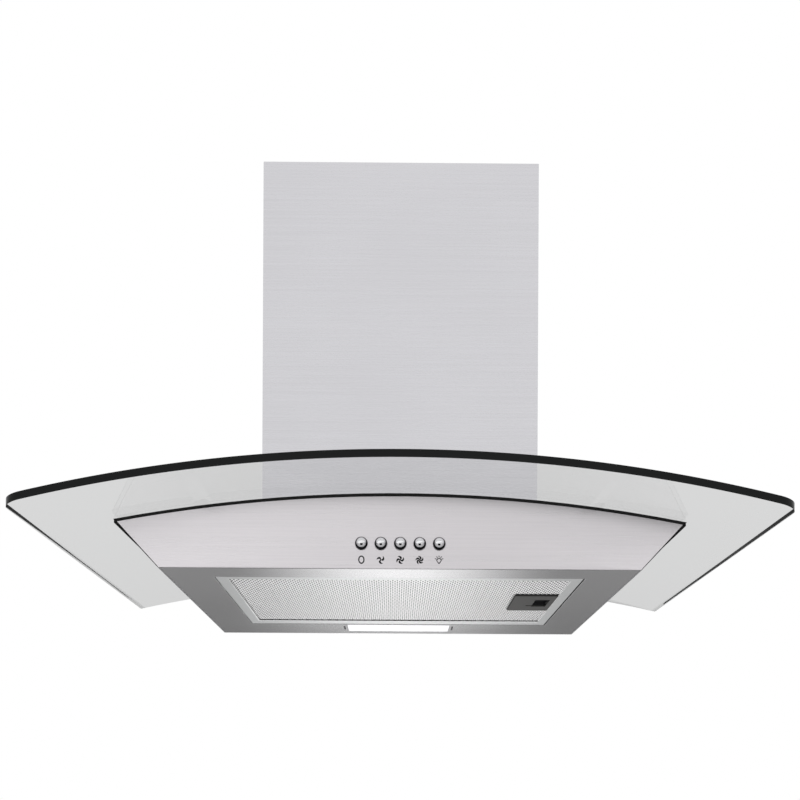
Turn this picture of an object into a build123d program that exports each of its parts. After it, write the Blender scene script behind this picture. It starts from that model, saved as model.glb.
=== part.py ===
"""Wall-mounted range hood with a curved glass canopy, in millimetres.

Frame: +Z up, +X to the right as seen from the front, -Y towards the cook. The origin is on the wall,
in the middle of the hood's width, at the height of its underside.

The glass is a piece of a cylinder whose axis runs front to back, so everything that touches it is cut
by a cylinder about the same axis.
"""

import os
from math import acos, atan, cos, degrees, hypot, pi, radians, sin, sqrt, tan

from build123d import *

os.makedirs("parts", exist_ok=True)

# ---------------------------------------------------------------- driving dimensions
SHEET = 1.0  # stainless sheet of the body and chimney
HAIR = 0.1  # radial room of a screw in its hole
SEAT_GAP = 0.3  # gap between faces that meet but are not fixed to each other

# Glass canopy
GLASS_WIDTH = 600.0
GLASS_DEPTH = 464.2  # along the straight side edges
GLASS_BOW = 12.4  # how far the middle of the front edge stands ahead of its ends
GLASS_THICKNESS = 6.0
GLASS_RISE = 33.1  # height of the arch over the full width
GLASS_CORNER = 16.0  # front corners, in plan
GLASS_EDGE = 0.8  # polished chamfer
NOTCH_GAP = 6.0  # glass to motor housing
GASKET_THICKNESS = 2.5
GASKET_WIDTH = 14.0
GASKET_LIP = 2.2  # how far the gasket's lip stands over the side panels
GASKET_LIP_DROP = 18.0

# Body under the glass
BODY_HEIGHT = 57.8  # fascia's height in the middle
UNDERSIDE_WIDTH = 404.8
UNDERSIDE_DEPTH = 369.0
FLARE_ANGLE = 42.9  # side panels from the vertical
LEAN_ANGLE = 4.0  # ends of the fascia from the vertical
FASCIA_BOW = 5.4  # how far the fascia's top edge is bowed forward
HEM_GAP = 1.5  # dark joint between fascia and underside
UPSTAND = 7.0  # folded front edge of the underside
TOP_PLATE = 1.2

# Grease filter and its opening
FILTER_WIDTH = 321.0
FILTER_DEPTH = 259.0
FILTER_HEIGHT = 9.0
FILTER_GAP = 1.2
FILTER_MIDDLE = 198.5  # from the wall
FILTER_RECESS = 0.3
FILTER_SKIN = 0.8
RIM_SIDE = 9.5
RIM_FRONT = 10.8
RIM_REAR = 18.8
RIM_TOP = 8.0
MESH_THICKNESS = 0.8
MESH_HOLE = 3.2  # radius
MESH_PITCH = 16.5
PLEAT_PITCH = 8.0
PLEAT_SHEET = 0.6  # measured upright
TONGUE_REACH = 6.0
TONGUE_WIDTH = 22.0
TONGUE_THICKNESS = 1.2
TONGUE_SPACING = 150.0

# Filter latch
LATCH_PAN_WIDTH = 42.0
LATCH_PAN_LENGTH = 80.0
LATCH_PAN_MIDDLE = 202.5  # from the wall
LATCH_PAN_WALL = 1.2
LATCH_WINDOW_WIDTH = 14.0
LATCH_WINDOW_LENGTH = 37.0
LATCH_WINDOW_EDGE = 5.0  # window to the pan's right edge
LATCH_WINDOW_MIDDLE = 204.5  # from the wall
LATCH_SLOT_WIDTH = 3.5
LATCH_TRAVEL = 6.0
LATCH_PLATE = 1.6
LATCH_WIDTH = 46.0
BOLT_WIDTH = 18.0
BOLT_REACH = 4.5  # over the panel when shut
LATCH_POCKET = 3.2  # depth of the finger pocket over the latch plate

# Push buttons, square to the fascia
BUTTON_RADIUS = 5.15
BUTTON_PITCH = 16.2
BUTTON_HEIGHT = 20.2
BUTTON_COUNT = 5
BUTTON_RING_GAP = 0.35
BUTTON_BARREL = 2.0  # straight part in front of the fascia
BUTTON_DOME = 3.2
BUTTON_DEPTH = 8.0  # wide part behind the fascia's face
BUTTON_TRAVEL = 3.0
STEM_RADIUS = 3.0
STEM_LENGTH = 9.0
STEM_GAP = 0.3
BANK_WIDTH = 90.0
BANK_HEIGHT = 18.0
BANK_DEPTH = 22.0
SHELF_LIP = 5.0
SHELF_THICKNESS = 1.2

# Lamp
LENS_WIDTH = 113.0
LENS_DEPTH = 43.0
LENS_MIDDLE = 42.0  # from the wall
LENS_GAP = 0.4
LENS_PROUD = 0.4
LENS_FLANGE = 1.5
LAMP_WIDTH = 132.0
LAMP_DEPTH = 48.6
LAMP_HEIGHT = 19.0
CATCH_SPACING = 120.8  # spring catches beside the lens, pressed to let the lamp down
CATCH_LENGTH = 25.0
CATCH_WIDTH = 1.5
CATCH_HEAD_WIDTH = 4.4
CATCH_HEAD_HEIGHT = 2.4
CATCH_HEAD_OVERHANG = 1.5  # at each end of its slot
BOARD_WIDTH = 104.0
BOARD_DEPTH = 22.0
BOARD_THICKNESS = 1.6
BOARD_POST = 6.0  # length of the posts that hold it
LED_COUNT = 9
LED_SIZE = 3.0

# Motor housing over the body
HOUSING_WIDTH = 224.0
HOUSING_DEPTH = 230.0
HOUSING_TOP = 290.0
HOUSING_FLANGE = 12.0
HOUSING_SCREW_PITCH = 75.0
SLOT_SPACING = 120.0
SLOT_LENGTH = 14.0
SLOT_RADIUS = 4.0
SLOT_DROP = 22.0  # slots below the housing's top
LOCK_RADIUS = 2.75
LOCK_HEIGHT = 90.0
HOOK_PLATE_WIDTH = 170.0
HOOK_PLATE_HEIGHT = 34.0
HOOK_PLATE_THICKNESS = 2.0

# Blower
WHEEL_RADIUS = 62.0
WHEEL_WIDTH = 80.0
BLADE_COUNT = 36
BLADE_LENGTH = 12.0
BLADE_THICKNESS = 1.2
BLADE_ANGLE = 35.0
WHEEL_DISC = 2.0
WHEEL_RING = 5.0
DISC_SHARE = 0.8  # of a blade's length, from the disc's rim to the blade's outer end
HUB_RADIUS = 10.0
HUB_LENGTH = 24.0
TONGUE_GAP = 8.0
SCROLL_GROWTH = 7.0
SCROLL_WALL = 2.0
SCROLL_SIDE_GAP = 4.0
INLET_RADIUS = 50.0
FAN_HEIGHT = 150.0
SCROLL_FLANGE = 64.0  # half width of the square flange under the collar
SCROLL_FLANGE_THICKNESS = 3.0
BOSS_RADIUS = 5.0
BOSS_LENGTH = 11.0
SHAFT_RADIUS = 4.0
SHAFT_GAP = 0.05
SHAFT_IN_MOTOR = 30.0
MOTOR_RADIUS = 37.0
MOTOR_LENGTH = 50.0
SPIDER_THICKNESS = 2.5
SPIDER_RING = 10.0
SPIDER_HUB_OUTER = 32.0
SPIDER_HUB_INNER = 13.0
SPIDER_ARM = 9.0
MOTOR_SCREW_CIRCLE = 24.0
GUARD_THICKNESS = 2.5
GUARD_WIRE = 2.4
CAPACITOR_RADIUS = 14.0
CAPACITOR_LENGTH = 55.0
CAPACITOR_SIDE = 28.0  # its middle to the housing's left side
CAPACITOR_FOOT = 215.0
CLIP_THICKNESS = 1.2
CLIP_HEIGHT = 12.0
WIRING_WIDTH = 46.0
WIRING_DEPTH = 30.0
WIRING_HEIGHT = 56.0
WIRING_FOOT = 205.0
WIRING_WALL = 2.0

# Outlet collar with its two non-return flaps
COLLAR_MIDDLE = 125.0  # from the wall
COLLAR_RADIUS = 75.0
COLLAR_WALL = 2.5
COLLAR_HEIGHT = 55.0
COLLAR_FLANGE = 13.0
COLLAR_FLANGE_THICKNESS = 3.0
COLLAR_SCREW_RADIUS = 81.5
FLAP_LEVEL = 14.0  # over the housing's top
FLAP_THICKNESS = 1.4
FLAP_GAP = 1.0  # flap to collar wall
FLAP_LEDGE = 3.0
PIN_RADIUS = 1.2
PIN_GAP = 0.05
PIN_OFFSET = 4.0  # pins ahead of and behind the collar's middle
KNUCKLE_WALL = 1.3
GLAND_SIDE = 22.0  # its middle to the housing's right side
GLAND_MIDDLE = 26.0  # from the wall
GLAND_RADIUS = 11.0
GLAND_THREAD = 8.0
GLAND_BORE = 3.75
GLAND_HEX = 5.0
GLAND_CAP = 13.0
NUT_THICKNESS = 4.0

# Chimney
CHIMNEY_ROOM_SIDE = 18.0  # each side of the motor housing, to the chimney's outside
CHIMNEY_ROOM_FRONT = 17.8
CHIMNEY_TOP = 408.4
CHIMNEY_RETURN = 12.0
CHIMNEY_GAP = 0.7  # between the two chimney sections
UPPER_FOOT = 98.0
UPPER_DROP = 1.2  # upper section below the lower one's rim
VENT_LENGTH = 70.0
VENT_WIDTH = 4.0
VENT_PITCH = 11.0
VENT_COUNT = 6
VENT_DROP = 55.0
STAY_THICKNESS = 1.5
STAY_HEIGHT = 18.0
STAY_LENGTH = 60.0
STAY_RISE = 8.0  # over the glass
STAY_MIDDLE = 120.0  # from the wall
BRACKET_HEIGHT = 20.0
BRACKET_DROP = 12.0
BRACKET_ARM = 24.0
BRACKET_JOG = 3.4
BRACKET_HOLE = 3.0
BRACKET_HOLE_SPACING = 100.0

# Screws
SCREW_RADIUS = 2.0
SCREW_HEAD = 3.8
SCREW_HEAD_HEIGHT = 2.2
SMALL_SCREW = 1.5
SMALL_HEAD = 2.6
SMALL_HEAD_HEIGHT = 1.6
GLASS_SCREW_X = 165.0
GLASS_SCREW_REAR = 48.0  # from the wall
GLASS_SCREW_FRONT = 318.0
GLASS_SCREW = 3.0
GLASS_CAP_RADIUS = 9.0
GLASS_CAP_HEIGHT = 4.0
GROMMET_SLEEVE = 5.5
GROMMET_RADIUS = 11.0
GROMMET_TOP = 1.5

# ---------------------------------------------------------------- derived places
arch_radius = ((GLASS_WIDTH / 2) ** 2 + GLASS_RISE**2) / (2 * GLASS_RISE)  # glass underside
arch_axis_z = BODY_HEIGHT + GASKET_THICKNESS - arch_radius
seat_radius = arch_radius - GASKET_THICKNESS  # where the gasket lies
top_radius = arch_radius + GLASS_THICKNESS
arch_margin = 30.0
form_top = BODY_HEIGHT + 4.0
flare = tan(radians(FLARE_ANGLE))
lean = tan(radians(LEAN_ANGLE))
wall_x = SHEET / cos(radians(FLARE_ANGLE))  # the slanted side panel's width in level section
fascia_inner = -UNDERSIDE_DEPTH + SHEET

filter_left, filter_right = -FILTER_WIDTH / 2, FILTER_WIDTH / 2
filter_front = -FILTER_MIDDLE - FILTER_DEPTH / 2
filter_rear = -FILTER_MIDDLE + FILTER_DEPTH / 2
filter_top = FILTER_RECESS + FILTER_HEIGHT
window_front = filter_front + RIM_FRONT
window_rear = filter_rear - RIM_REAR
window_right = filter_right - RIM_SIDE
mesh_floor = FILTER_RECESS + FILTER_SKIN

pan_right = window_right
pan_left = pan_right - LATCH_PAN_WIDTH
latch_floor = mesh_floor + MESH_THICKNESS + SEAT_GAP
latch_window_x = pan_right - LATCH_WINDOW_EDGE - LATCH_WINDOW_WIDTH / 2

button_tilt = degrees(atan(lean + FASCIA_BOW / BODY_HEIGHT))
button_xs = [(i - (BUTTON_COUNT - 1) / 2) * BUTTON_PITCH for i in range(BUTTON_COUNT)]
bank_face = -(SHEET + BUTTON_DEPTH + BUTTON_TRAVEL)  # behind the fascia's face
shelf_face = -(SHEET + SEAT_GAP)

far_out = 4 * SHEET  # clear of the faces that a cut must pass
housing_x = HOUSING_WIDTH / 2
capacitor_x = CAPACITOR_SIDE - housing_x
gland_x = housing_x - GLAND_SIDE
collar_y = -COLLAR_MIDDLE
bore_radius = COLLAR_RADIUS - COLLAR_WALL
scroll_radius = WHEEL_RADIUS + TONGUE_GAP
scroll_end = scroll_radius + 3 * SCROLL_GROWTH
fan_y = collar_y + scroll_end / 2
fan_z = FAN_HEIGHT
scroll_half = WHEEL_WIDTH / 2 + SCROLL_SIDE_GAP
scroll_face = scroll_half + SCROLL_WALL
scroll_top = HOUSING_TOP - SHEET
motor_face = scroll_face + SPIDER_THICKNESS
collar_foot = HOUSING_TOP + COLLAR_FLANGE_THICKNESS
flap_floor = HOUSING_TOP + FLAP_LEVEL
pin_level = flap_floor + FLAP_THICKNESS / 2
knuckle_radius = PIN_RADIUS + KNUCKLE_WALL
slot_level = HOUSING_TOP - SLOT_DROP

chimney_x = housing_x + CHIMNEY_ROOM_SIDE
chimney_width = 2 * chimney_x
chimney_depth = HOUSING_DEPTH + CHIMNEY_ROOM_FRONT
upper_x = chimney_x - SHEET - CHIMNEY_GAP
upper_front = -(chimney_depth - SHEET - CHIMNEY_GAP)
upper_rear = -(SHEET + CHIMNEY_GAP)
upper_top = CHIMNEY_TOP - UPPER_DROP


# ---------------------------------------------------------------- helpers
def save(builder, label):
    """Label a finished piece and write it under its own name."""
    builder.part.label = label
    export_step(builder.part, f"parts/{label}.step")


def save_group(builders, label):
    """Write pieces that touch but aren't fused, such as spot-welded sheets, under one name."""
    group = Compound([solid for builder in builders for solid in builder.part.solids()])
    group.label = label
    export_step(group, f"parts/{label}.step")


def arch_z(radius, x):
    """Height of the arch of this radius at x."""
    return arch_axis_z + sqrt(radius**2 - x**2)


def arch_plane(radius, x, y):
    """Plane that touches the arch of this radius at x and y, its normal pointing out of the arch."""
    normal = (x / radius, 0, sqrt(radius**2 - x**2) / radius)
    return Plane(origin=(x, y, arch_z(radius, x)), x_dir=(0, 1, 0), z_dir=normal)


def arch_block(radius):
    """Solid cylinder about the arch's axis, longer than the hood is deep."""
    with BuildPart() as block:
        with BuildSketch(Plane.XZ.offset(-arch_margin)):
            with Locations((0, arch_axis_z)):
                Circle(radius)
        extrude(amount=GLASS_DEPTH + GLASS_BOW + 2 * arch_margin)
    return block.part


def box_between(low, high, mode=Mode.ADD):
    """Box between two corners."""
    size = [b - a for a, b in zip(low, high)]
    with Locations(tuple(low)):
        return Box(*size, align=(Align.MIN, Align.MIN, Align.MIN), mode=mode)


def body_form(side, front, rear):
    """Tapered body up to above the arch, with its sides, front and rear moved in by these amounts."""
    with BuildPart() as form:
        for z in (0, form_top):
            half = UNDERSIDE_WIDTH / 2 + z * flare - side
            y_front = -UNDERSIDE_DEPTH - z * lean + front
            y_rear = far_out - rear
            with BuildSketch(Plane.XY.offset(z)):
                with BuildLine():
                    Polyline((-half, y_front), (-half, y_rear), (half, y_rear), (half, y_front))
                    if z > 0:
                        tip = y_front - FASCIA_BOW * z / BODY_HEIGHT
                        ThreePointArc((half, y_front), (0, tip), (-half, y_front))
                    else:
                        Line((half, y_front), (-half, y_front))
                make_face()
        loft(ruled=True)
        split(bisect_by=Plane.XZ.offset(rear), keep=Keep.TOP)
    return form.part


def fascia_plane(x):
    """Plane on the fascia's face at a button, its normal pointing out and its Y direction up."""
    y = -UNDERSIDE_DEPTH - BUTTON_HEIGHT * tan(radians(button_tilt))
    normal = (0, -cos(radians(button_tilt)), -sin(radians(button_tilt)))
    return Plane(origin=(x, y, BUTTON_HEIGHT), x_dir=(1, 0, 0), z_dir=normal)


def screw(plane, radius, head, head_height, length):
    """Pan head screw on a plane: the head stands on it and the shank goes down from it."""
    with BuildSketch(plane) as top:
        Circle(head)
    extrude(top.sketch, amount=head_height)
    with BuildSketch(plane) as shank:
        Circle(radius)
    extrude(shank.sketch, amount=-length)


def drill(plane, radius, depth, mode=Mode.SUBTRACT):
    """Round hole from half its depth over a plane to half its depth under it."""
    with BuildSketch(plane) as hole:
        Circle(radius)
    extrude(hole.sketch, amount=depth / 2, both=True, mode=mode)


# ---------------------------------------------------------------- body of sheet metal
arch_seat = arch_block(seat_radius)
arch_under_plate = arch_block(seat_radius - TOP_PLATE)
arch_under_glass = arch_block(arch_radius)

with BuildPart() as fascia:
    add(body_form(0, 0, 0))
    add(body_form(-far_out, SHEET, -far_out), mode=Mode.SUBTRACT)
    add(arch_seat, mode=Mode.INTERSECT)
    for button_x in button_xs:
        drill(fascia_plane(button_x), BUTTON_RADIUS + BUTTON_RING_GAP, 2 * far_out)
save(fascia, "fascia")

for label, side in (("side_panel_left", -1), ("side_panel_right", 1)):
    with BuildPart() as side_panel:
        add(body_form(0, SHEET, 0))
        add(body_form(wall_x, -far_out, -far_out), mode=Mode.SUBTRACT)
        add(arch_seat, mode=Mode.INTERSECT)
        split(bisect_by=Plane.YZ, keep=Keep.TOP if side > 0 else Keep.BOTTOM)
    save(side_panel, label)

with BuildPart() as rear_panel:
    add(body_form(wall_x, 0, 0))
    box_between((-GLASS_WIDTH, -GLASS_WIDTH, -far_out), (GLASS_WIDTH, -SHEET, form_top), Mode.SUBTRACT)
    add(arch_seat, mode=Mode.INTERSECT)
save(rear_panel, "rear_panel")

panel_x = UNDERSIDE_WIDTH / 2 - wall_x
panel_front = fascia_inner + HEM_GAP
with BuildPart() as underside_panel:
    box_between((-panel_x, panel_front, 0), (panel_x, -SHEET, SHEET))
    box_between((-panel_x, panel_front, 0), (panel_x, panel_front + SHEET, UPSTAND))
    box_between(
        (filter_left - FILTER_GAP, filter_front - FILTER_GAP, 0),
        (filter_right + FILTER_GAP, filter_rear + FILTER_GAP, SHEET),
        Mode.SUBTRACT,
    )
    with Locations((0, -LENS_MIDDLE, SHEET / 2)):
        Box(LENS_WIDTH + 2 * LENS_GAP, LENS_DEPTH + 2 * LENS_GAP, SHEET, mode=Mode.SUBTRACT)
    with Locations((0, -LENS_MIDDLE, 0)), GridLocations(CATCH_SPACING, 0, 2, 1):
        Box(CATCH_WIDTH + 2 * HAIR, CATCH_LENGTH + 2 * HAIR, 4 * SHEET, mode=Mode.SUBTRACT)
save(underside_panel, "underside_panel")

glass_screw_places = [
    (side * GLASS_SCREW_X, -y) for side in (-1, 1) for y in (GLASS_SCREW_REAR, GLASS_SCREW_FRONT)
]
housing_screw_x = housing_x - HOUSING_FLANGE / 2
housing_screw_places = [
    (side * housing_screw_x, -HOUSING_DEPTH / 2 + step * HOUSING_SCREW_PITCH)
    for side in (-1, 1)
    for step in (-1, 0, 1)
]

with BuildPart() as top_plate:
    add(body_form(wall_x, SHEET, SHEET))
    add(arch_seat, mode=Mode.INTERSECT)
    add(arch_under_plate, mode=Mode.SUBTRACT)
    box_between(
        (-housing_x + HOUSING_FLANGE, -HOUSING_DEPTH + HOUSING_FLANGE, 0),
        (housing_x - HOUSING_FLANGE, -HOUSING_FLANGE, form_top),
        Mode.SUBTRACT,
    )
    for x, y in glass_screw_places:
        drill(arch_plane(seat_radius, x, y), GLASS_SCREW + HAIR, 4 * TOP_PLATE)
    for x, y in housing_screw_places:
        drill(arch_plane(seat_radius, x, y), SCREW_RADIUS + HAIR, 4 * TOP_PLATE)
save(top_plate, "top_plate")

# ---------------------------------------------------------------- glass and its gasket
notch_x = housing_x + NOTCH_GAP
notch_y = HOUSING_DEPTH + NOTCH_GAP

with BuildPart() as glass_gasket:
    add(body_form(0, 0, 0))
    add(body_form(GASKET_WIDTH, GASKET_WIDTH, GASKET_WIDTH), mode=Mode.SUBTRACT)
    add(arch_under_glass, mode=Mode.INTERSECT)
    add(arch_seat, mode=Mode.SUBTRACT)
    box_between((-notch_x, -notch_y, 0), (notch_x, 0, form_top), Mode.SUBTRACT)
    # a lip over the upper part of each side panel, thinner towards its lower edge
    corner_z = BODY_HEIGHT
    for _ in range(4):
        corner_z = arch_z(seat_radius, UNDERSIDE_WIDTH / 2 + corner_z * flare)
    for side in (-1, 1):
        upper = UNDERSIDE_WIDTH / 2 + corner_z * flare
        low_z = corner_z - GASKET_LIP_DROP
        lower = UNDERSIDE_WIDTH / 2 + low_z * flare
        brim = arch_z(arch_radius, upper + GASKET_LIP)
        with BuildSketch(Plane.XZ):
            with BuildLine():
                Polyline(
                    (side * lower, low_z),
                    (side * (lower + HAIR), low_z),
                    (side * (upper + GASKET_LIP), corner_z),
                    (side * (upper + GASKET_LIP), brim),
                    (side * upper, brim),
                    (side * upper, corner_z),
                    close=True,
                )
            make_face()
        extrude(amount=UNDERSIDE_DEPTH - SHEET)
save(glass_gasket, "glass_gasket")

with BuildPart() as glass_canopy:
    with BuildSketch(Plane.XY.offset(-form_top)):
        with BuildLine():
            half = GLASS_WIDTH / 2
            Polyline((-half, -GLASS_DEPTH), (-half, 0), (half, 0), (half, -GLASS_DEPTH))
            ThreePointArc((half, -GLASS_DEPTH), (0, -GLASS_DEPTH - GLASS_BOW), (-half, -GLASS_DEPTH))
        make_face()
        corners = vertices().filter_by(lambda v: v.Y < -GLASS_DEPTH / 2)
        fillet(corners, GLASS_CORNER)
        with Locations((0, -notch_y / 2)):
            Rectangle(2 * notch_x, notch_y, mode=Mode.SUBTRACT)
    extrude(amount=3 * form_top)
    add(arch_block(top_radius), mode=Mode.INTERSECT)
    add(arch_under_glass, mode=Mode.SUBTRACT)
    rims = edges().filter_by(lambda e: e.center().Y < -GLASS_DEPTH + GLASS_CORNER and e.length > GLASS_WIDTH / 2)
    chamfer(rims, GLASS_EDGE)
    for x, y in glass_screw_places:
        drill(arch_plane(top_radius, x, y), GROMMET_SLEEVE + HAIR, 4 * GLASS_THICKNESS)
save(glass_canopy, "glass_canopy")

grommet_stack = GLASS_THICKNESS + GASKET_THICKNESS - HAIR
with BuildPart() as glass_grommets:
    for x, y in glass_screw_places:
        with BuildSketch(arch_plane(top_radius + HAIR / 2, x, y)):
            Circle(GROMMET_RADIUS)
        extrude(amount=GROMMET_TOP)
        with BuildSketch(arch_plane(top_radius + HAIR / 2, x, y)):
            Circle(GROMMET_SLEEVE)
        extrude(amount=-grommet_stack)
        with BuildSketch(arch_plane(seat_radius + HAIR / 2, x, y)):
            Circle(GROMMET_RADIUS)
        extrude(amount=GASKET_THICKNESS - HAIR)
        drill(arch_plane(top_radius, x, y), GLASS_SCREW + HAIR, 8 * GLASS_THICKNESS)
save(glass_grommets, "glass_grommets")

with BuildPart() as glass_screws:
    for x, y in glass_screw_places:
        screw(
            arch_plane(top_radius + GROMMET_TOP + HAIR / 2, x, y),
            GLASS_SCREW,
            GLASS_CAP_RADIUS,
            GLASS_CAP_HEIGHT,
            grommet_stack + GROMMET_TOP + 3 * TOP_PLATE,
        )
    fillet(edges().filter_by(GeomType.CIRCLE).filter_by(lambda e: e.radius > GLASS_SCREW).group_by(
        lambda e: round(hypot(e.center().X, e.center().Z - arch_axis_z) - top_radius, 1))[-1],
        GLASS_CAP_HEIGHT / 2)
save(glass_screws, "glass_screws")

# ---------------------------------------------------------------- grease filter
core_floor = mesh_floor + MESH_THICKNESS
core_top = filter_top - FILTER_SKIN - MESH_THICKNESS
latch_gap_y = (-LATCH_PAN_MIDDLE - LATCH_PAN_LENGTH / 2, -LATCH_PAN_MIDDLE + LATCH_PAN_LENGTH / 2)
bolt_y = -LATCH_WINDOW_MIDDLE
bolt_top = latch_floor + LATCH_PLATE

with BuildPart() as filter_frame:
    box_between((filter_left, filter_front, FILTER_RECESS), (filter_right, filter_rear, filter_top))
    box_between(
        (filter_left + FILTER_SKIN, filter_front + FILTER_SKIN, mesh_floor),
        (filter_right - FILTER_SKIN, filter_rear - FILTER_SKIN, filter_top - FILTER_SKIN),
        Mode.SUBTRACT,
    )
    box_between(
        (filter_left + RIM_SIDE, window_front, FILTER_RECESS),
        (window_right, window_rear, mesh_floor),
        Mode.SUBTRACT,
    )
    box_between(
        (filter_left + RIM_TOP, filter_front + RIM_TOP, filter_top - FILTER_SKIN),
        (filter_right - RIM_TOP, filter_rear - RIM_TOP, filter_top),
        Mode.SUBTRACT,
    )
    with Locations((filter_right, bolt_y, latch_floor + LATCH_PLATE / 2)):
        Box(4 * FILTER_SKIN, BOLT_WIDTH + 2 * SEAT_GAP, LATCH_PLATE + 2 * SEAT_GAP, mode=Mode.SUBTRACT)
    for step in (-1, 1):
        middle = -FILTER_MIDDLE + step * TONGUE_SPACING / 2
        box_between(
            (filter_left - FILTER_GAP - TONGUE_REACH, middle - TONGUE_WIDTH / 2, SHEET + SEAT_GAP),
            (filter_left + FILTER_SKIN, middle + TONGUE_WIDTH / 2, SHEET + SEAT_GAP + TONGUE_THICKNESS),
        )
save(filter_frame, "filter_frame")


def latch_clearing(mode=Mode.SUBTRACT):
    """Room for the latch pan in the layers of the filter, out to the frame's right wall."""
    return box_between(
        (pan_left - HAIR, latch_gap_y[0] - HAIR, 0),
        (filter_right, latch_gap_y[1] + HAIR, filter_top + SHEET),
        mode,
    )


mesh_columns = int((window_right - filter_left - RIM_SIDE) // MESH_PITCH)
mesh_rows = int((window_rear - window_front) // MESH_PITCH)
mesh_middle_y = (window_front + window_rear) / 2
for label, floor in (("filter_mesh_lower", mesh_floor), ("filter_mesh_upper", core_top)):
    with BuildPart() as mesh:
        box_between(
            (filter_left + FILTER_SKIN + HAIR, filter_front + FILTER_SKIN + HAIR, floor),
            (filter_right - FILTER_SKIN - HAIR, filter_rear - FILTER_SKIN - HAIR, floor + MESH_THICKNESS),
        )
        with BuildSketch(Plane.XY.offset(floor)):
            with Locations((0, mesh_middle_y)), GridLocations(
                MESH_PITCH, MESH_PITCH, mesh_columns, mesh_rows
            ):
                Circle(MESH_HOLE)
        extrude(amount=MESH_THICKNESS, mode=Mode.SUBTRACT)
        latch_clearing()
    save(mesh, label)

core_width = FILTER_WIDTH - 2 * (FILTER_SKIN + HAIR)
pleat_count = int(core_width // PLEAT_PITCH)
with BuildPart() as filter_core:
    # one pleated sheet between the two flat meshes
    with BuildSketch(Plane.XZ.offset(-(filter_rear - FILTER_SKIN - HAIR))):
        folds = [
            (
                (step - pleat_count) * PLEAT_PITCH / 2,
                core_top - PLEAT_SHEET if step % 2 else core_floor,
            )
            for step in range(2 * pleat_count + 1)
        ]
        with BuildLine():
            Polyline(*folds, *[(x, z + PLEAT_SHEET) for x, z in reversed(folds)], close=True)
        make_face()
    extrude(amount=FILTER_DEPTH - 2 * (FILTER_SKIN + HAIR))
    latch_clearing()
save(filter_core, "filter_core")

pan_top = filter_top - FILTER_SKIN
with BuildPart() as latch_pan:
    box_between((pan_left, latch_gap_y[0], FILTER_RECESS), (pan_right, latch_gap_y[1], pan_top))
    box_between(
        (pan_left + LATCH_PAN_WALL, latch_gap_y[0] + LATCH_PAN_WALL, mesh_floor + MESH_THICKNESS),
        (pan_right - LATCH_PAN_WALL, latch_gap_y[1] - LATCH_PAN_WALL, pan_top - LATCH_PAN_WALL),
        Mode.SUBTRACT,
    )
    # finger window, and the slot that shows the travel
    with Locations((latch_window_x, -LATCH_WINDOW_MIDDLE, 0)):
        Box(LATCH_WINDOW_WIDTH, LATCH_WINDOW_LENGTH, 2 * latch_floor, mode=Mode.SUBTRACT)
    slot_rear = -LATCH_WINDOW_MIDDLE + LATCH_WINDOW_LENGTH / 2
    box_between(
        (latch_window_x - LATCH_WINDOW_WIDTH / 2 - LATCH_TRAVEL, slot_rear - 2 * LATCH_SLOT_WIDTH, 0),
        (latch_window_x, slot_rear - LATCH_SLOT_WIDTH, latch_floor),
        Mode.SUBTRACT,
    )
    with Locations((pan_right, bolt_y, latch_floor + LATCH_PLATE / 2)):
        Box(4 * LATCH_PAN_WALL, BOLT_WIDTH + 2 * SEAT_GAP, LATCH_PLATE + 2 * SEAT_GAP, mode=Mode.SUBTRACT)
    # two ears that the frame's right rim holds down
    for end in latch_gap_y:
        low, high = sorted((end, end + (LATCH_PAN_WALL * 6 if end < bolt_y else -LATCH_PAN_WALL * 6)))
        box_between(
            (pan_right - HAIR, low, mesh_floor),
            (filter_right - FILTER_SKIN - HAIR, high, mesh_floor + LATCH_PAN_WALL),
        )
save(latch_pan, "latch_pan")

latch_right = pan_right - LATCH_PAN_WALL - SEAT_GAP
latch_left = pan_left + LATCH_PAN_WALL + LATCH_TRAVEL + SEAT_GAP
pocket_right = latch_window_x + LATCH_WINDOW_WIDTH / 2 - SEAT_GAP
pocket_left = latch_window_x - LATCH_WINDOW_WIDTH / 2 + SEAT_GAP
pocket_half = LATCH_WINDOW_LENGTH / 2 - SEAT_GAP
with BuildPart() as filter_latch:
    box_between(
        (latch_left, bolt_y - LATCH_WIDTH / 2, latch_floor),
        (latch_right, bolt_y + LATCH_WIDTH / 2, bolt_top + LATCH_POCKET),
    )
    # finger pocket, open below
    box_between(
        (pocket_left, bolt_y - pocket_half, latch_floor),
        (pocket_right, bolt_y + pocket_half, bolt_top + LATCH_POCKET - LATCH_PAN_WALL),
        Mode.SUBTRACT,
    )
    # the bolt through the frame, over the edge of the underside
    box_between(
        (latch_right - LATCH_PAN_WALL, bolt_y - BOLT_WIDTH / 2, latch_floor),
        (filter_right + FILTER_GAP + BOLT_REACH, bolt_y + BOLT_WIDTH / 2, bolt_top),
    )
save(filter_latch, "filter_latch")

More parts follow.
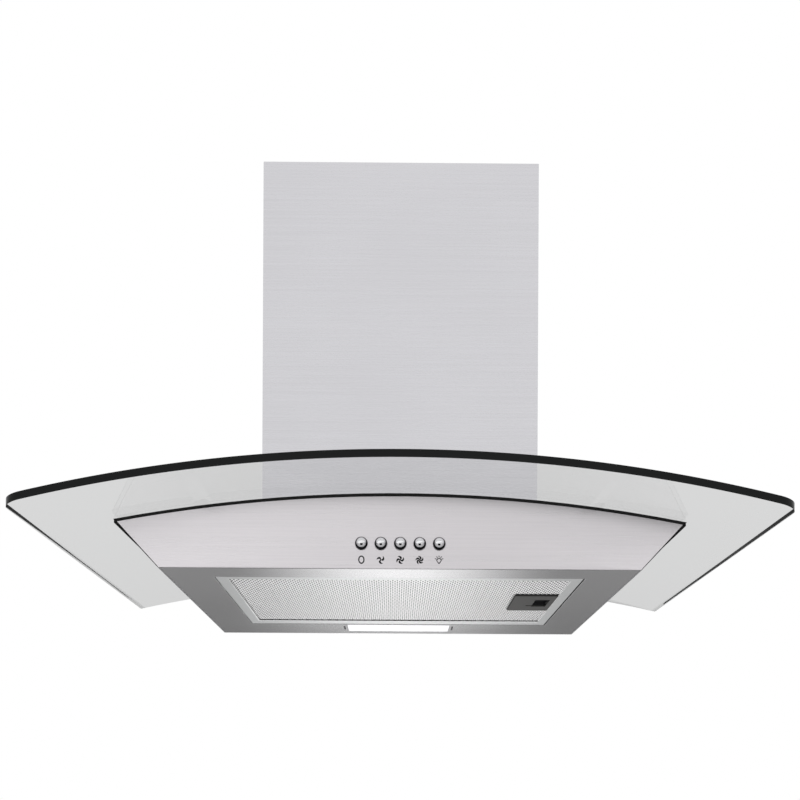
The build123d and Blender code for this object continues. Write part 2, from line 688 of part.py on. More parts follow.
# ---------------------------------------------------------------- push buttons and switch bank
BUTTON_LABELS = ("button_off", "button_low", "button_medium", "button_high", "button_lamp")
for label, button_x in zip(BUTTON_LABELS, button_xs):
    dome_radius = (BUTTON_RADIUS**2 + BUTTON_DOME**2) / (2 * BUTTON_DOME)
    dome_half = degrees(acos((dome_radius - BUTTON_DOME) / dome_radius)) / 2
    with BuildPart() as button:
        face = fascia_plane(button_x)
        section = Plane(origin=face.origin, x_dir=face.x_dir, z_dir=-face.y_dir)
        with BuildSketch(section):
            with BuildLine():
                crown = BUTTON_BARREL + BUTTON_DOME
                dome_middle = (
                    dome_radius * sin(radians(dome_half)),
                    crown - dome_radius * (1 - cos(radians(dome_half))),
                )
                Line((0, crown), (0, -BUTTON_DEPTH - STEM_LENGTH))
                Polyline(
                    (0, -BUTTON_DEPTH - STEM_LENGTH),
                    (STEM_RADIUS, -BUTTON_DEPTH - STEM_LENGTH),
                    (STEM_RADIUS, -BUTTON_DEPTH),
                    (BUTTON_RADIUS, -BUTTON_DEPTH),
                    (BUTTON_RADIUS, BUTTON_BARREL),
                )
                ThreePointArc((BUTTON_RADIUS, BUTTON_BARREL), dome_middle, (0, crown))
            make_face()
        revolve(axis=Axis(face.origin, face.z_dir))
    save(button, label)

middle_plane = fascia_plane(0)
bank_screw_x = BANK_WIDTH / 2 - 2 * SCREW_HEAD
with BuildPart() as switch_bank:
    with BuildSketch(middle_plane.offset(bank_face)):
        Rectangle(BANK_WIDTH, BANK_HEIGHT)
    extrude(amount=-BANK_DEPTH)
    with BuildSketch(middle_plane.offset(bank_face)):
        with GridLocations(BUTTON_PITCH, 0, BUTTON_COUNT, 1):
            Circle(STEM_RADIUS + STEM_GAP)
    well = STEM_LENGTH + BUTTON_DEPTH + BUTTON_TRAVEL + STEM_GAP + bank_face
    extrude(amount=-well - BUTTON_TRAVEL, mode=Mode.SUBTRACT)
save(switch_bank, "switch_bank")

shelf_plane = Plane(
    origin=middle_plane.origin - middle_plane.y_dir * BANK_HEIGHT / 2,
    x_dir=middle_plane.x_dir,
    z_dir=middle_plane.y_dir,
)
shelf_depth = BANK_DEPTH - bank_face + shelf_face
shelf_middle = -shelf_face + shelf_depth / 2  # behind the face
bank_middle = -bank_face + BANK_DEPTH / 2
with BuildPart() as switch_shelf:
    with BuildSketch(shelf_plane):
        with Locations((0, shelf_middle)):
            Rectangle(BANK_WIDTH, shelf_depth)
        with Locations((0, bank_middle)), GridLocations(2 * bank_screw_x, 0, 2, 1):
            Circle(SMALL_SCREW + HAIR, mode=Mode.SUBTRACT)
    extrude(amount=-SHELF_THICKNESS)
    with BuildSketch(middle_plane.offset(shelf_face)):
        with Locations((0, -BANK_HEIGHT / 2 - SHELF_LIP / 2)):
            Rectangle(BANK_WIDTH, SHELF_LIP)
    extrude(amount=-SHELF_THICKNESS)
save(switch_shelf, "switch_shelf")

with BuildPart() as switch_screws:
    below = shelf_plane.offset(-SHELF_THICKNESS)
    for side in (-1, 1):
        place = below.from_local_coords(Vector(side * bank_screw_x, bank_middle, 0))
        screw(
            Plane(origin=place, x_dir=below.x_dir, z_dir=-below.z_dir),
            SMALL_SCREW,
            SMALL_HEAD,
            SMALL_HEAD_HEIGHT,
            SHELF_THICKNESS,
        )
save(switch_screws, "switch_screws")

# ---------------------------------------------------------------- lamp
lamp_top = SHEET + LAMP_HEIGHT
with BuildPart() as lamp_housing:
    with Locations((0, -LENS_MIDDLE, SHEET + LAMP_HEIGHT / 2)):
        Box(LAMP_WIDTH, LAMP_DEPTH, LAMP_HEIGHT)
        Box(LAMP_WIDTH - 2 * SHEET, LAMP_DEPTH - 2 * SHEET, LAMP_HEIGHT - 2 * SHEET, mode=Mode.SUBTRACT)
    with Locations((0, -LENS_MIDDLE, SHEET * 1.5)):
        Box(LENS_WIDTH + 2 * LENS_GAP, LENS_DEPTH + 2 * LENS_GAP, SHEET, mode=Mode.SUBTRACT)
    with Locations((0, -LENS_MIDDLE, SHEET * 1.5)), GridLocations(CATCH_SPACING, 0, 2, 1):
        Box(CATCH_WIDTH + 2 * HAIR, CATCH_LENGTH + 2 * HAIR, 2 * SHEET, mode=Mode.SUBTRACT)
    with BuildSketch(Plane.XY.offset(lamp_top - SHEET)):
        with Locations((0, -LENS_MIDDLE)), GridLocations(BOARD_WIDTH * 0.7, 0, 2, 1):
            Circle(SCREW_RADIUS)
    extrude(amount=-BOARD_POST)
save(lamp_housing, "lamp_housing")

board_top = lamp_top - SHEET - BOARD_POST
with BuildPart() as led_board:
    with Locations((0, -LENS_MIDDLE, board_top - BOARD_THICKNESS / 2)):
        Box(BOARD_WIDTH, BOARD_DEPTH, BOARD_THICKNESS)
    with BuildSketch(Plane.XY.offset(board_top - BOARD_THICKNESS)):
        with Locations((0, -LENS_MIDDLE)), GridLocations(BOARD_WIDTH / LED_COUNT, 0, LED_COUNT, 1):
            Rectangle(LED_SIZE, LED_SIZE)
    extrude(amount=-SHEET)
save(led_board, "led_board")

with BuildPart() as lamp_lens:
    with BuildSketch(Plane.XY.offset(-LENS_PROUD)):
        with Locations((0, -LENS_MIDDLE)):
            Rectangle(LENS_WIDTH, LENS_DEPTH)
    extrude(amount=LENS_PROUD + 2 * SHEET)
    with BuildSketch(Plane.XY.offset(2 * SHEET)):
        with Locations((0, -LENS_MIDDLE)):
            Rectangle(LENS_WIDTH + 2 * LENS_FLANGE, LENS_DEPTH + 2 * LENS_FLANGE)
    extrude(amount=SHEET)
save(lamp_lens, "lamp_lens")

# a tongue through the slots in the underside and the housing, and a head that rests on the housing's floor
with BuildPart() as lamp_catches:
    with Locations((0, -LENS_MIDDLE, SHEET)), GridLocations(CATCH_SPACING, 0, 2, 1):
        Box(CATCH_WIDTH, CATCH_LENGTH, 2 * SHEET)
    with Locations((0, -LENS_MIDDLE, 2 * SHEET + CATCH_HEAD_HEIGHT / 2)), GridLocations(CATCH_SPACING, 0, 2, 1):
        Box(CATCH_HEAD_WIDTH, CATCH_LENGTH + 2 * CATCH_HEAD_OVERHANG, CATCH_HEAD_HEIGHT)
save(lamp_catches, "lamp_catches")

# ---------------------------------------------------------------- motor housing
collar_screw_places = [
    (
        COLLAR_SCREW_RADIUS * cos(radians(angle)),
        collar_y + COLLAR_SCREW_RADIUS * sin(radians(angle)),
    )
    for angle in (45, 135, 225, 315)
]
arch_over_flange = arch_block(seat_radius + SHEET)

inside_x = housing_x - SHEET
inside_front = -HOUSING_DEPTH + SHEET
mouth_x = housing_x - HOUSING_FLANGE
mouth_front = -HOUSING_DEPTH + HOUSING_FLANGE
housing_sheets = (
    ((-housing_x, -HOUSING_DEPTH, 0), (-inside_x, 0, HOUSING_TOP)),
    ((inside_x, -HOUSING_DEPTH, 0), (housing_x, 0, HOUSING_TOP)),
    ((-inside_x, -HOUSING_DEPTH, 0), (inside_x, inside_front, HOUSING_TOP)),
    ((-inside_x, -SHEET, 0), (inside_x, 0, HOUSING_TOP)),
    ((-inside_x, inside_front, HOUSING_TOP - SHEET), (inside_x, -SHEET, HOUSING_TOP)),
)
foot_strips = (
    ((-inside_x, inside_front, 0), (-mouth_x, -SHEET, form_top)),
    ((mouth_x, inside_front, 0), (inside_x, -SHEET, form_top)),
    ((-mouth_x, inside_front, 0), (mouth_x, mouth_front, form_top)),
    ((-mouth_x, -HOUSING_FLANGE, 0), (mouth_x, -SHEET, form_top)),
)
motor_housing = []
for corners in housing_sheets + foot_strips:
    with BuildPart() as sheet:
        box_between(*corners)
        if corners in foot_strips:
            add(arch_over_flange, mode=Mode.INTERSECT)
        add(arch_seat, mode=Mode.SUBTRACT)
        for x, y in housing_screw_places:
            drill(arch_plane(seat_radius, x, y), SCREW_RADIUS + HAIR, 4 * SHEET)
        with BuildSketch(Plane.XY.offset(HOUSING_TOP)):
            with Locations((0, collar_y)):
                Circle(bore_radius)
            with Locations(*collar_screw_places):
                Circle(SCREW_RADIUS + HAIR)
            with Locations((gland_x, -GLAND_MIDDLE)):
                Circle(GLAND_THREAD + HAIR)
        extrude(amount=-2 * SHEET, mode=Mode.SUBTRACT)
        # slots to hang the hood by, and holes to lock it with
        with BuildSketch(Plane.XZ):
            with Locations((0, slot_level)), GridLocations(SLOT_SPACING, 0, 2, 1):
                SlotOverall(SLOT_LENGTH, 2 * SLOT_RADIUS)
            with Locations((0, LOCK_HEIGHT)), GridLocations(SLOT_SPACING, 0, 2, 1):
                Circle(LOCK_RADIUS)
        extrude(amount=2 * SHEET, mode=Mode.SUBTRACT)
    motor_housing.append(sheet)
save_group(motor_housing, "motor_housing")

with BuildPart() as hook_plate:
    with BuildSketch(Plane.XZ.offset(SHEET)):
        with Locations((0, slot_level)):
            Rectangle(HOOK_PLATE_WIDTH, HOOK_PLATE_HEIGHT)
            with GridLocations(SLOT_SPACING, 0, 2, 1):
                SlotOverall(SLOT_LENGTH, 2 * SLOT_RADIUS, mode=Mode.SUBTRACT)
    extrude(amount=HOOK_PLATE_THICKNESS)
save(hook_plate, "hook_plate")

with BuildPart() as housing_screws:
    for x, y in housing_screw_places:
        screw(
            arch_plane(seat_radius + SHEET, x, y),
            SCREW_RADIUS,
            SCREW_HEAD,
            SCREW_HEAD_HEIGHT,
            SHEET + 4 * TOP_PLATE,
        )
save(housing_screws, "housing_screws")


# ---------------------------------------------------------------- blower
def volute(extra):
    """Outline of the scroll, grown by this much: three arcs of rising radius and a straight outlet."""
    start = degrees(acos(extra / (scroll_radius + extra)))
    growth = SCROLL_GROWTH
    with BuildLine() as outline:
        arc = CenterArc((fan_y, fan_z), scroll_radius + extra, start, -start)
        CenterArc((fan_y - growth, fan_z), scroll_radius + growth + extra, 0, -90)
        end = CenterArc((fan_y - growth, fan_z + growth), scroll_radius + 2 * growth + extra, -90, -90)
        Polyline(end @ 1, (fan_y - scroll_end - extra, scroll_top), (fan_y + extra, scroll_top), arc @ 0)
    make_face(outline.edges())


boss_places = [
    (fan_y + out * cos(radians(angle)) - shift, fan_z + out * sin(radians(angle)) + rise)
    for angle, shift, rise, out in (
        (45, 0, 0, scroll_radius + SCROLL_WALL + BOSS_RADIUS * 0.8),
        (-45, SCROLL_GROWTH, 0, scroll_radius + SCROLL_GROWTH + SCROLL_WALL + BOSS_RADIUS * 0.8),
        (
            -135,
            SCROLL_GROWTH,
            SCROLL_GROWTH,
            scroll_radius + 2 * SCROLL_GROWTH + SCROLL_WALL + BOSS_RADIUS * 0.8,
        ),
    )
]
spider_hole_radius = INLET_RADIUS + SPIDER_RING / 2
spider_angles = (90, 210, 330)

for label, side in (("scroll_half_left", -1), ("scroll_half_right", 1)):
    with BuildPart() as scroll_half_piece:
        with BuildSketch(Plane.YZ):
            volute(SCROLL_WALL)
        extrude(amount=side * scroll_face)
        with BuildSketch(Plane.YZ):
            with Locations(*boss_places):
                Circle(BOSS_RADIUS)
        extrude(amount=side * BOSS_LENGTH)
        with BuildSketch(Plane.XY.offset(scroll_top)):
            with Locations((side * SCROLL_FLANGE / 2, collar_y)):
                Rectangle(SCROLL_FLANGE, 2 * SCROLL_FLANGE)
        extrude(amount=-SCROLL_FLANGE_THICKNESS)
        with BuildSketch(Plane.YZ):
            volute(0)
        extrude(amount=side * scroll_half, mode=Mode.SUBTRACT)
        with BuildSketch(Plane.YZ):
            with Locations(*boss_places):
                Circle(SMALL_SCREW)
        extrude(amount=side * BOSS_LENGTH, mode=Mode.SUBTRACT)
        with BuildSketch(Plane.YZ):
            with Locations((fan_y, fan_z)):
                Circle(INLET_RADIUS)
                with PolarLocations(spider_hole_radius, len(spider_angles), start_angle=90):
                    Circle(SMALL_SCREW)
        extrude(amount=side * 2 * scroll_face, mode=Mode.SUBTRACT)
        with BuildSketch(Plane.XY.offset(scroll_top)):
            with Locations(*collar_screw_places):
                Circle(SCREW_RADIUS)
        extrude(amount=-2 * SCROLL_FLANGE_THICKNESS, mode=Mode.SUBTRACT)
    save(scroll_half_piece, label)

with BuildPart() as scroll_screws:
    for y, z in boss_places:
        screw(
            Plane(origin=(BOSS_LENGTH, y, z), z_dir=(1, 0, 0)),
            SMALL_SCREW - HAIR / 2,
            SMALL_HEAD,
            SMALL_HEAD_HEIGHT,
            2 * BOSS_LENGTH,
        )
save(scroll_screws, "scroll_screws")

wheel_disc_radius = WHEEL_RADIUS - DISC_SHARE * BLADE_LENGTH
with BuildPart() as wheel_blades:
    with BuildSketch(Plane.YZ.offset(WHEEL_DISC - WHEEL_WIDTH / 2)):
        with Locations((fan_y, fan_z)):
            with PolarLocations(WHEEL_RADIUS - BLADE_LENGTH / 2, BLADE_COUNT):
                Rectangle(BLADE_LENGTH, BLADE_THICKNESS, rotation=BLADE_ANGLE)
    extrude(amount=WHEEL_WIDTH - 2 * WHEEL_DISC)
    # notches that the disc is pressed into
    with BuildSketch(Plane.YZ):
        with Locations((fan_y, fan_z)):
            Circle(wheel_disc_radius)
    extrude(amount=WHEEL_DISC / 2, both=True, mode=Mode.SUBTRACT)

with BuildPart() as wheel_rings:
    for x in (-WHEEL_WIDTH / 2, WHEEL_WIDTH / 2 - WHEEL_DISC):
        with BuildSketch(Plane.YZ.offset(x)):
            with Locations((fan_y, fan_z)):
                Circle(WHEEL_RADIUS)
                Circle(WHEEL_RADIUS - WHEEL_RING, mode=Mode.SUBTRACT)
        extrude(amount=WHEEL_DISC)

with BuildPart() as wheel_disc:
    for radius, width in ((wheel_disc_radius, WHEEL_DISC), (HUB_RADIUS, HUB_LENGTH)):
        with BuildSketch(Plane.YZ):
            with Locations((fan_y, fan_z)):
                Circle(radius)
        extrude(amount=width / 2, both=True)
    with BuildSketch(Plane.YZ):
        with Locations((fan_y, fan_z)):
            Circle(SHAFT_RADIUS)
    extrude(amount=HUB_LENGTH, both=True, mode=Mode.SUBTRACT)
save_group([wheel_blades, wheel_rings, wheel_disc], "impeller")

with BuildPart() as motor_shaft:
    with BuildSketch(Plane.YZ.offset(-HUB_LENGTH / 2 - SHAFT_RADIUS)):
        with Locations((fan_y, fan_z)):
            Circle(SHAFT_RADIUS)
    extrude(amount=HUB_LENGTH / 2 + SHAFT_RADIUS + motor_face + SHAFT_IN_MOTOR)
save(motor_shaft, "motor_shaft")

with BuildPart() as motor:
    with BuildSketch(Plane.YZ.offset(motor_face)):
        with Locations((fan_y, fan_z)):
            Circle(MOTOR_RADIUS)
    extrude(amount=MOTOR_LENGTH)
    fillet(edges().filter_by(GeomType.CIRCLE).sort_by(Axis.X)[-1], SPIDER_THICKNESS)
    with BuildSketch(Plane.YZ.offset(motor_face)):
        with Locations((fan_y, fan_z)):
            Circle(SHAFT_RADIUS + SHAFT_GAP)
    extrude(amount=SHAFT_IN_MOTOR + SEAT_GAP, mode=Mode.SUBTRACT)
    with BuildSketch(Plane.YZ.offset(motor_face)):
        with Locations((fan_y, fan_z)):
            with PolarLocations(MOTOR_SCREW_CIRCLE, len(spider_angles), start_angle=90):
                Circle(SMALL_SCREW)
    extrude(amount=BOSS_LENGTH, mode=Mode.SUBTRACT)
save(motor, "motor")

with BuildPart() as motor_bracket:
    with BuildSketch(Plane.YZ.offset(scroll_face)):
        with Locations((fan_y, fan_z)):
            Circle(INLET_RADIUS + SPIDER_RING)
            Circle(INLET_RADIUS, mode=Mode.SUBTRACT)
            Circle(SPIDER_HUB_OUTER)
            with PolarLocations((SPIDER_HUB_OUTER + INLET_RADIUS) / 2, len(spider_angles), start_angle=90):
                Rectangle(INLET_RADIUS - SPIDER_HUB_OUTER + SPIDER_RING, SPIDER_ARM)
            Circle(SPIDER_HUB_INNER, mode=Mode.SUBTRACT)
            for radius in (MOTOR_SCREW_CIRCLE, spider_hole_radius):
                with PolarLocations(radius, len(spider_angles), start_angle=90):
                    Circle(SMALL_SCREW + HAIR, mode=Mode.SUBTRACT)
    extrude(amount=SPIDER_THICKNESS)
save(motor_bracket, "motor_bracket")

with BuildPart() as bracket_screws:
    for angle in spider_angles:
        y = fan_y + spider_hole_radius * cos(radians(angle))
        z = fan_z + spider_hole_radius * sin(radians(angle))
        screw(
            Plane(origin=(motor_face, y, z), z_dir=(1, 0, 0)),
            SMALL_SCREW - HAIR / 2,
            SMALL_HEAD,
            SMALL_HEAD_HEIGHT,
            SPIDER_THICKNESS + SCROLL_WALL,
        )
save(bracket_screws, "bracket_screws")

with BuildPart() as motor_screws:
    for angle in spider_angles:
        y = fan_y + MOTOR_SCREW_CIRCLE * cos(radians(angle))
        z = fan_z + MOTOR_SCREW_CIRCLE * sin(radians(angle))
        screw(
            Plane(origin=(scroll_face, y, z), z_dir=(-1, 0, 0)),
            SMALL_SCREW - HAIR / 2,
            SMALL_HEAD,
            SMALL_HEAD_HEIGHT,
            SPIDER_THICKNESS + BOSS_LENGTH - SEAT_GAP,
        )
save(motor_screws, "motor_screws")

with BuildPart() as inlet_guard:
    with BuildSketch(Plane.YZ.offset(-scroll_face - GUARD_THICKNESS)):
        with Locations((fan_y, fan_z)):
            for radius in (INLET_RADIUS + SPIDER_RING, INLET_RADIUS * 0.7, INLET_RADIUS * 0.35):
                Circle(radius)
                Circle(radius - (SPIDER_RING if radius > INLET_RADIUS else GUARD_WIRE), mode=Mode.SUBTRACT)
            with PolarLocations(INLET_RADIUS / 2 + GUARD_WIRE, len(spider_angles) * 2):
                Rectangle(INLET_RADIUS, GUARD_WIRE)
            with PolarLocations(spider_hole_radius, len(spider_angles), start_angle=90):
                Circle(SMALL_SCREW + HAIR, mode=Mode.SUBTRACT)
    extrude(amount=GUARD_THICKNESS)
save(inlet_guard, "inlet_guard")

with BuildPart() as guard_screws:
    for angle in spider_angles:
        y = fan_y + spider_hole_radius * cos(radians(angle))
        z = fan_z + spider_hole_radius * sin(radians(angle))
        screw(
            Plane(origin=(-scroll_face - GUARD_THICKNESS, y, z), z_dir=(-1, 0, 0)),
            SMALL_SCREW - HAIR / 2,
            SMALL_HEAD,
            SMALL_HEAD_HEIGHT,
            GUARD_THICKNESS + SCROLL_WALL,
        )
save(guard_screws, "guard_screws")

# ---------------------------------------------------------------- electrical pieces
capacitor_y = inside_front + CLIP_THICKNESS + HAIR + CAPACITOR_RADIUS
with BuildPart() as capacitor:
    with Locations((capacitor_x, capacitor_y, CAPACITOR_FOOT + CAPACITOR_LENGTH / 2)):
        Cylinder(CAPACITOR_RADIUS, CAPACITOR_LENGTH)
    fillet(edges().filter_by(GeomType.CIRCLE), SHEET)
save(capacitor, "capacitor")

with BuildPart() as capacitor_clip:
    clip_foot = CAPACITOR_FOOT + (CAPACITOR_LENGTH - CLIP_HEIGHT) / 2
    with BuildSketch(Plane.XY.offset(clip_foot)):
        with Locations((capacitor_x, capacitor_y)):
            Circle(CAPACITOR_RADIUS + HAIR + CLIP_THICKNESS)
        with Locations((capacitor_x, inside_front + CLIP_THICKNESS / 2)):
            Rectangle(3 * CAPACITOR_RADIUS, CLIP_THICKNESS)
        with Locations((capacitor_x, capacitor_y)):
            Circle(CAPACITOR_RADIUS + HAIR, mode=Mode.SUBTRACT)
    extrude(amount=CLIP_HEIGHT)
save(capacitor_clip, "capacitor_clip")

wiring_low = (inside_x - WIRING_WIDTH, inside_front, WIRING_FOOT)
wiring_high = (inside_x, inside_front + WIRING_DEPTH, WIRING_FOOT + WIRING_HEIGHT)
with BuildPart() as wiring_box:
    box_between(wiring_low, wiring_high)
    box_between(
        [v + WIRING_WALL for v in wiring_low],
        (wiring_high[0] - WIRING_WALL, wiring_high[1], wiring_high[2] - WIRING_WALL),
        Mode.SUBTRACT,
    )
save(wiring_box, "wiring_box")

with BuildPart() as wiring_lid:
    box_between(
        (wiring_low[0], wiring_high[1], wiring_low[2]),
        (wiring_high[0], wiring_high[1] + WIRING_WALL, wiring_high[2]),
    )
save(wiring_lid, "wiring_lid")

with BuildPart() as cable_gland:
    with BuildSketch(Plane.XY.offset(HOUSING_TOP)):
        with Locations((gland_x, -GLAND_MIDDLE)):
            RegularPolygon(GLAND_RADIUS, 6)
    extrude(amount=GLAND_HEX)
    with BuildSketch(Plane.XY.offset(HOUSING_TOP + GLAND_HEX)):
        with Locations((gland_x, -GLAND_MIDDLE)):
            Circle(GLAND_THREAD + SHEET)
    extrude(amount=GLAND_CAP - GLAND_HEX, taper=12)
    with BuildSketch(Plane.XY.offset(HOUSING_TOP)):
        with Locations((gland_x, -GLAND_MIDDLE)):
            Circle(GLAND_THREAD)
    extrude(amount=-SHEET - NUT_THICKNESS - SHEET)
    with Locations((gland_x, -GLAND_MIDDLE, HOUSING_TOP)):
        Cylinder(GLAND_BORE, 4 * GLAND_CAP, mode=Mode.SUBTRACT)
save(cable_gland, "cable_gland")

with BuildPart() as gland_nut:
    with BuildSketch(Plane.XY.offset(HOUSING_TOP - SHEET)):
        with Locations((gland_x, -GLAND_MIDDLE)):
            RegularPolygon(GLAND_RADIUS, 6)
            Circle(GLAND_THREAD + HAIR, mode=Mode.SUBTRACT)
    extrude(amount=-NUT_THICKNESS)
save(gland_nut, "gland_nut")

# ---------------------------------------------------------------- outlet collar and flaps
with BuildPart() as duct_collar:
    with BuildSketch(Plane.XY.offset(HOUSING_TOP)):
        with Locations((0, collar_y)):
            Circle(COLLAR_RADIUS + COLLAR_FLANGE)
    extrude(amount=COLLAR_FLANGE_THICKNESS)
    with BuildSketch(Plane.XY.offset(HOUSING_TOP)):
        with Locations((0, collar_y)):
            Circle(COLLAR_RADIUS)
    extrude(amount=COLLAR_HEIGHT)
    with BuildSketch(Plane.XY.offset(HOUSING_TOP)):
        with Locations((0, collar_y)):
            Circle(bore_radius)
    extrude(amount=COLLAR_HEIGHT, mode=Mode.SUBTRACT)
    # ledge under the shut flaps
    with BuildSketch(Plane.XY.offset(flap_floor - SEAT_GAP)):
        with Locations((0, collar_y)):
            Circle(bore_radius)
            Circle(bore_radius - FLAP_LEDGE, mode=Mode.SUBTRACT)
    extrude(amount=-COLLAR_WALL)
    with BuildSketch(Plane.XY.offset(HOUSING_TOP)):
        with Locations(*collar_screw_places):
            Circle(SCREW_RADIUS + HAIR)
    extrude(amount=COLLAR_FLANGE_THICKNESS, mode=Mode.SUBTRACT)
    # holes that carry the flaps' pins
    with BuildSketch(Plane.YZ):
        with Locations((collar_y, pin_level)), GridLocations(2 * PIN_OFFSET, 0, 2, 1):
            Circle(PIN_RADIUS)
    extrude(amount=COLLAR_RADIUS - COLLAR_WALL / 2, both=True, mode=Mode.SUBTRACT)
save(duct_collar, "duct_collar")

with BuildPart() as collar_screws:
    for x, y in collar_screw_places:
        screw(
            Plane.XY.move(Location((x, y, collar_foot))),
            SCREW_RADIUS,
            SCREW_HEAD,
            SCREW_HEAD_HEIGHT,
            COLLAR_FLANGE_THICKNESS + SHEET + SCROLL_FLANGE_THICKNESS,
        )
save(collar_screws, "collar_screws")

with BuildPart() as flap_pins:
    for side in (-1, 1):
        length = 2 * (COLLAR_RADIUS - COLLAR_WALL / 2)
        with BuildSketch(Plane.YZ.offset(-length / 2)):
            with Locations((collar_y + side * PIN_OFFSET, pin_level)):
                Circle(PIN_RADIUS)
        extrude(amount=length)
save(flap_pins, "flap_pins")

for label, side in (("flap_front", -1), ("flap_rear", 1)):
    flap_radius = bore_radius - FLAP_GAP
    pin_y = collar_y + side * PIN_OFFSET
    # the knuckle hangs lower than the flap, so it ends inside the ledge
    knuckle_half = sqrt((flap_radius - FLAP_LEDGE) ** 2 - (PIN_OFFSET + knuckle_radius) ** 2)
    with BuildPart() as flap:
        with BuildSketch(Plane.XY.offset(flap_floor)):
            with Locations((0, collar_y)):
                Circle(flap_radius)
            with Locations((0, pin_y - side * flap_radius)):
                Rectangle(3 * flap_radius, 2 * flap_radius, mode=Mode.SUBTRACT)
        extrude(amount=FLAP_THICKNESS)
        with BuildSketch(Plane.YZ):
            with Locations((pin_y, pin_level)):
                Circle(knuckle_radius)
        extrude(amount=knuckle_half, both=True)
        with BuildSketch(Plane.YZ):
            with Locations((pin_y, pin_level)):
                Circle(PIN_RADIUS + PIN_GAP)
        extrude(amount=COLLAR_RADIUS, both=True, mode=Mode.SUBTRACT)
    save(flap, label)

# ---------------------------------------------------------------- chimney
with BuildPart() as lower_chimney:
    with BuildSketch(Plane.XY.offset(form_top / 2)):
        with Locations((0, -chimney_depth / 2)):
            Rectangle(chimney_width, chimney_depth)
            Rectangle(chimney_width - 2 * SHEET, chimney_depth - 2 * SHEET, mode=Mode.SUBTRACT)
        with Locations((0, -SHEET / 2)):
            Rectangle(chimney_width - 2 * CHIMNEY_RETURN, 2 * SHEET, mode=Mode.SUBTRACT)
    extrude(amount=CHIMNEY_TOP - form_top / 2)
    add(arch_block(top_radius + SEAT_GAP), mode=Mode.SUBTRACT)
    stay_foot = arch_z(top_radius, housing_x) + STAY_RISE
    stay_screw_z = stay_foot + STAY_HEIGHT / 2 + STAY_THICKNESS / 2
    with BuildSketch(Plane.YZ):
        with Locations((-STAY_MIDDLE, stay_screw_z)):
            Circle(SCREW_RADIUS + HAIR)
    extrude(amount=chimney_width, both=True, mode=Mode.SUBTRACT)
save(lower_chimney, "lower_chimney")

stay_out = chimney_x - SHEET
for label, side in (("chimney_stay_left", -1), ("chimney_stay_right", 1)):
    with BuildPart() as stay:
        with BuildSketch(Plane.XZ.offset(STAY_MIDDLE - STAY_LENGTH / 2)):
            with BuildLine():
                Polyline(
                    (side * housing_x, stay_foot),
                    (side * stay_out, stay_foot),
                    (side * stay_out, stay_foot + STAY_HEIGHT),
                    (side * (stay_out - STAY_THICKNESS), stay_foot + STAY_HEIGHT),
                    (side * (stay_out - STAY_THICKNESS), stay_foot + STAY_THICKNESS),
                    (side * (housing_x + STAY_THICKNESS), stay_foot + STAY_THICKNESS),
                    (side * (housing_x + STAY_THICKNESS), stay_foot + STAY_HEIGHT),
                    (side * housing_x, stay_foot + STAY_HEIGHT),
                    close=True,
                )
            make_face()
        extrude(amount=STAY_LENGTH)
        with BuildSketch(Plane.YZ.offset(side * (stay_out - 2 * STAY_THICKNESS))):
            with Locations((-STAY_MIDDLE, stay_screw_z)):
                Circle(SCREW_RADIUS + HAIR)
        extrude(amount=side * 3 * STAY_THICKNESS, mode=Mode.SUBTRACT)
    save(stay, label)

with BuildPart() as chimney_screws:
    for side in (-1, 1):
        screw(
            Plane(origin=(side * chimney_x, -STAY_MIDDLE, stay_screw_z), z_dir=(side, 0, 0)),
            SCREW_RADIUS,
            SCREW_HEAD,
            SCREW_HEAD_HEIGHT,
            SHEET + 3 * STAY_THICKNESS,
        )
save(chimney_screws, "chimney_screws")

bracket_top = upper_top - BRACKET_DROP
bracket_screw_y = -BRACKET_ARM + 2 * SCREW_HEAD
with BuildPart() as upper_chimney:
    with BuildSketch(Plane.XY.offset(UPPER_FOOT)):
        with BuildLine():
            Polyline(
                (-upper_x, upper_rear),
                (-upper_x, upper_front),
                (upper_x, upper_front),
                (upper_x, upper_rear),
                (upper_x - SHEET, upper_rear),
                (upper_x - SHEET, upper_front + SHEET),
                (-upper_x + SHEET, upper_front + SHEET),
                (-upper_x + SHEET, upper_rear),
                close=True,
            )
        make_face()
    extrude(amount=upper_top - UPPER_FOOT)
    with BuildSketch(Plane.YZ):
        vent_middle = upper_top - VENT_DROP
        with Locations((-chimney_depth / 2, vent_middle)), GridLocations(0, VENT_PITCH, 1, VENT_COUNT):
            SlotOverall(VENT_LENGTH, VENT_WIDTH)
        with Locations((bracket_screw_y, bracket_top - BRACKET_HEIGHT / 2)):
            Circle(SCREW_RADIUS + HAIR)
    extrude(amount=chimney_width, both=True, mode=Mode.SUBTRACT)
save(upper_chimney, "upper_chimney")

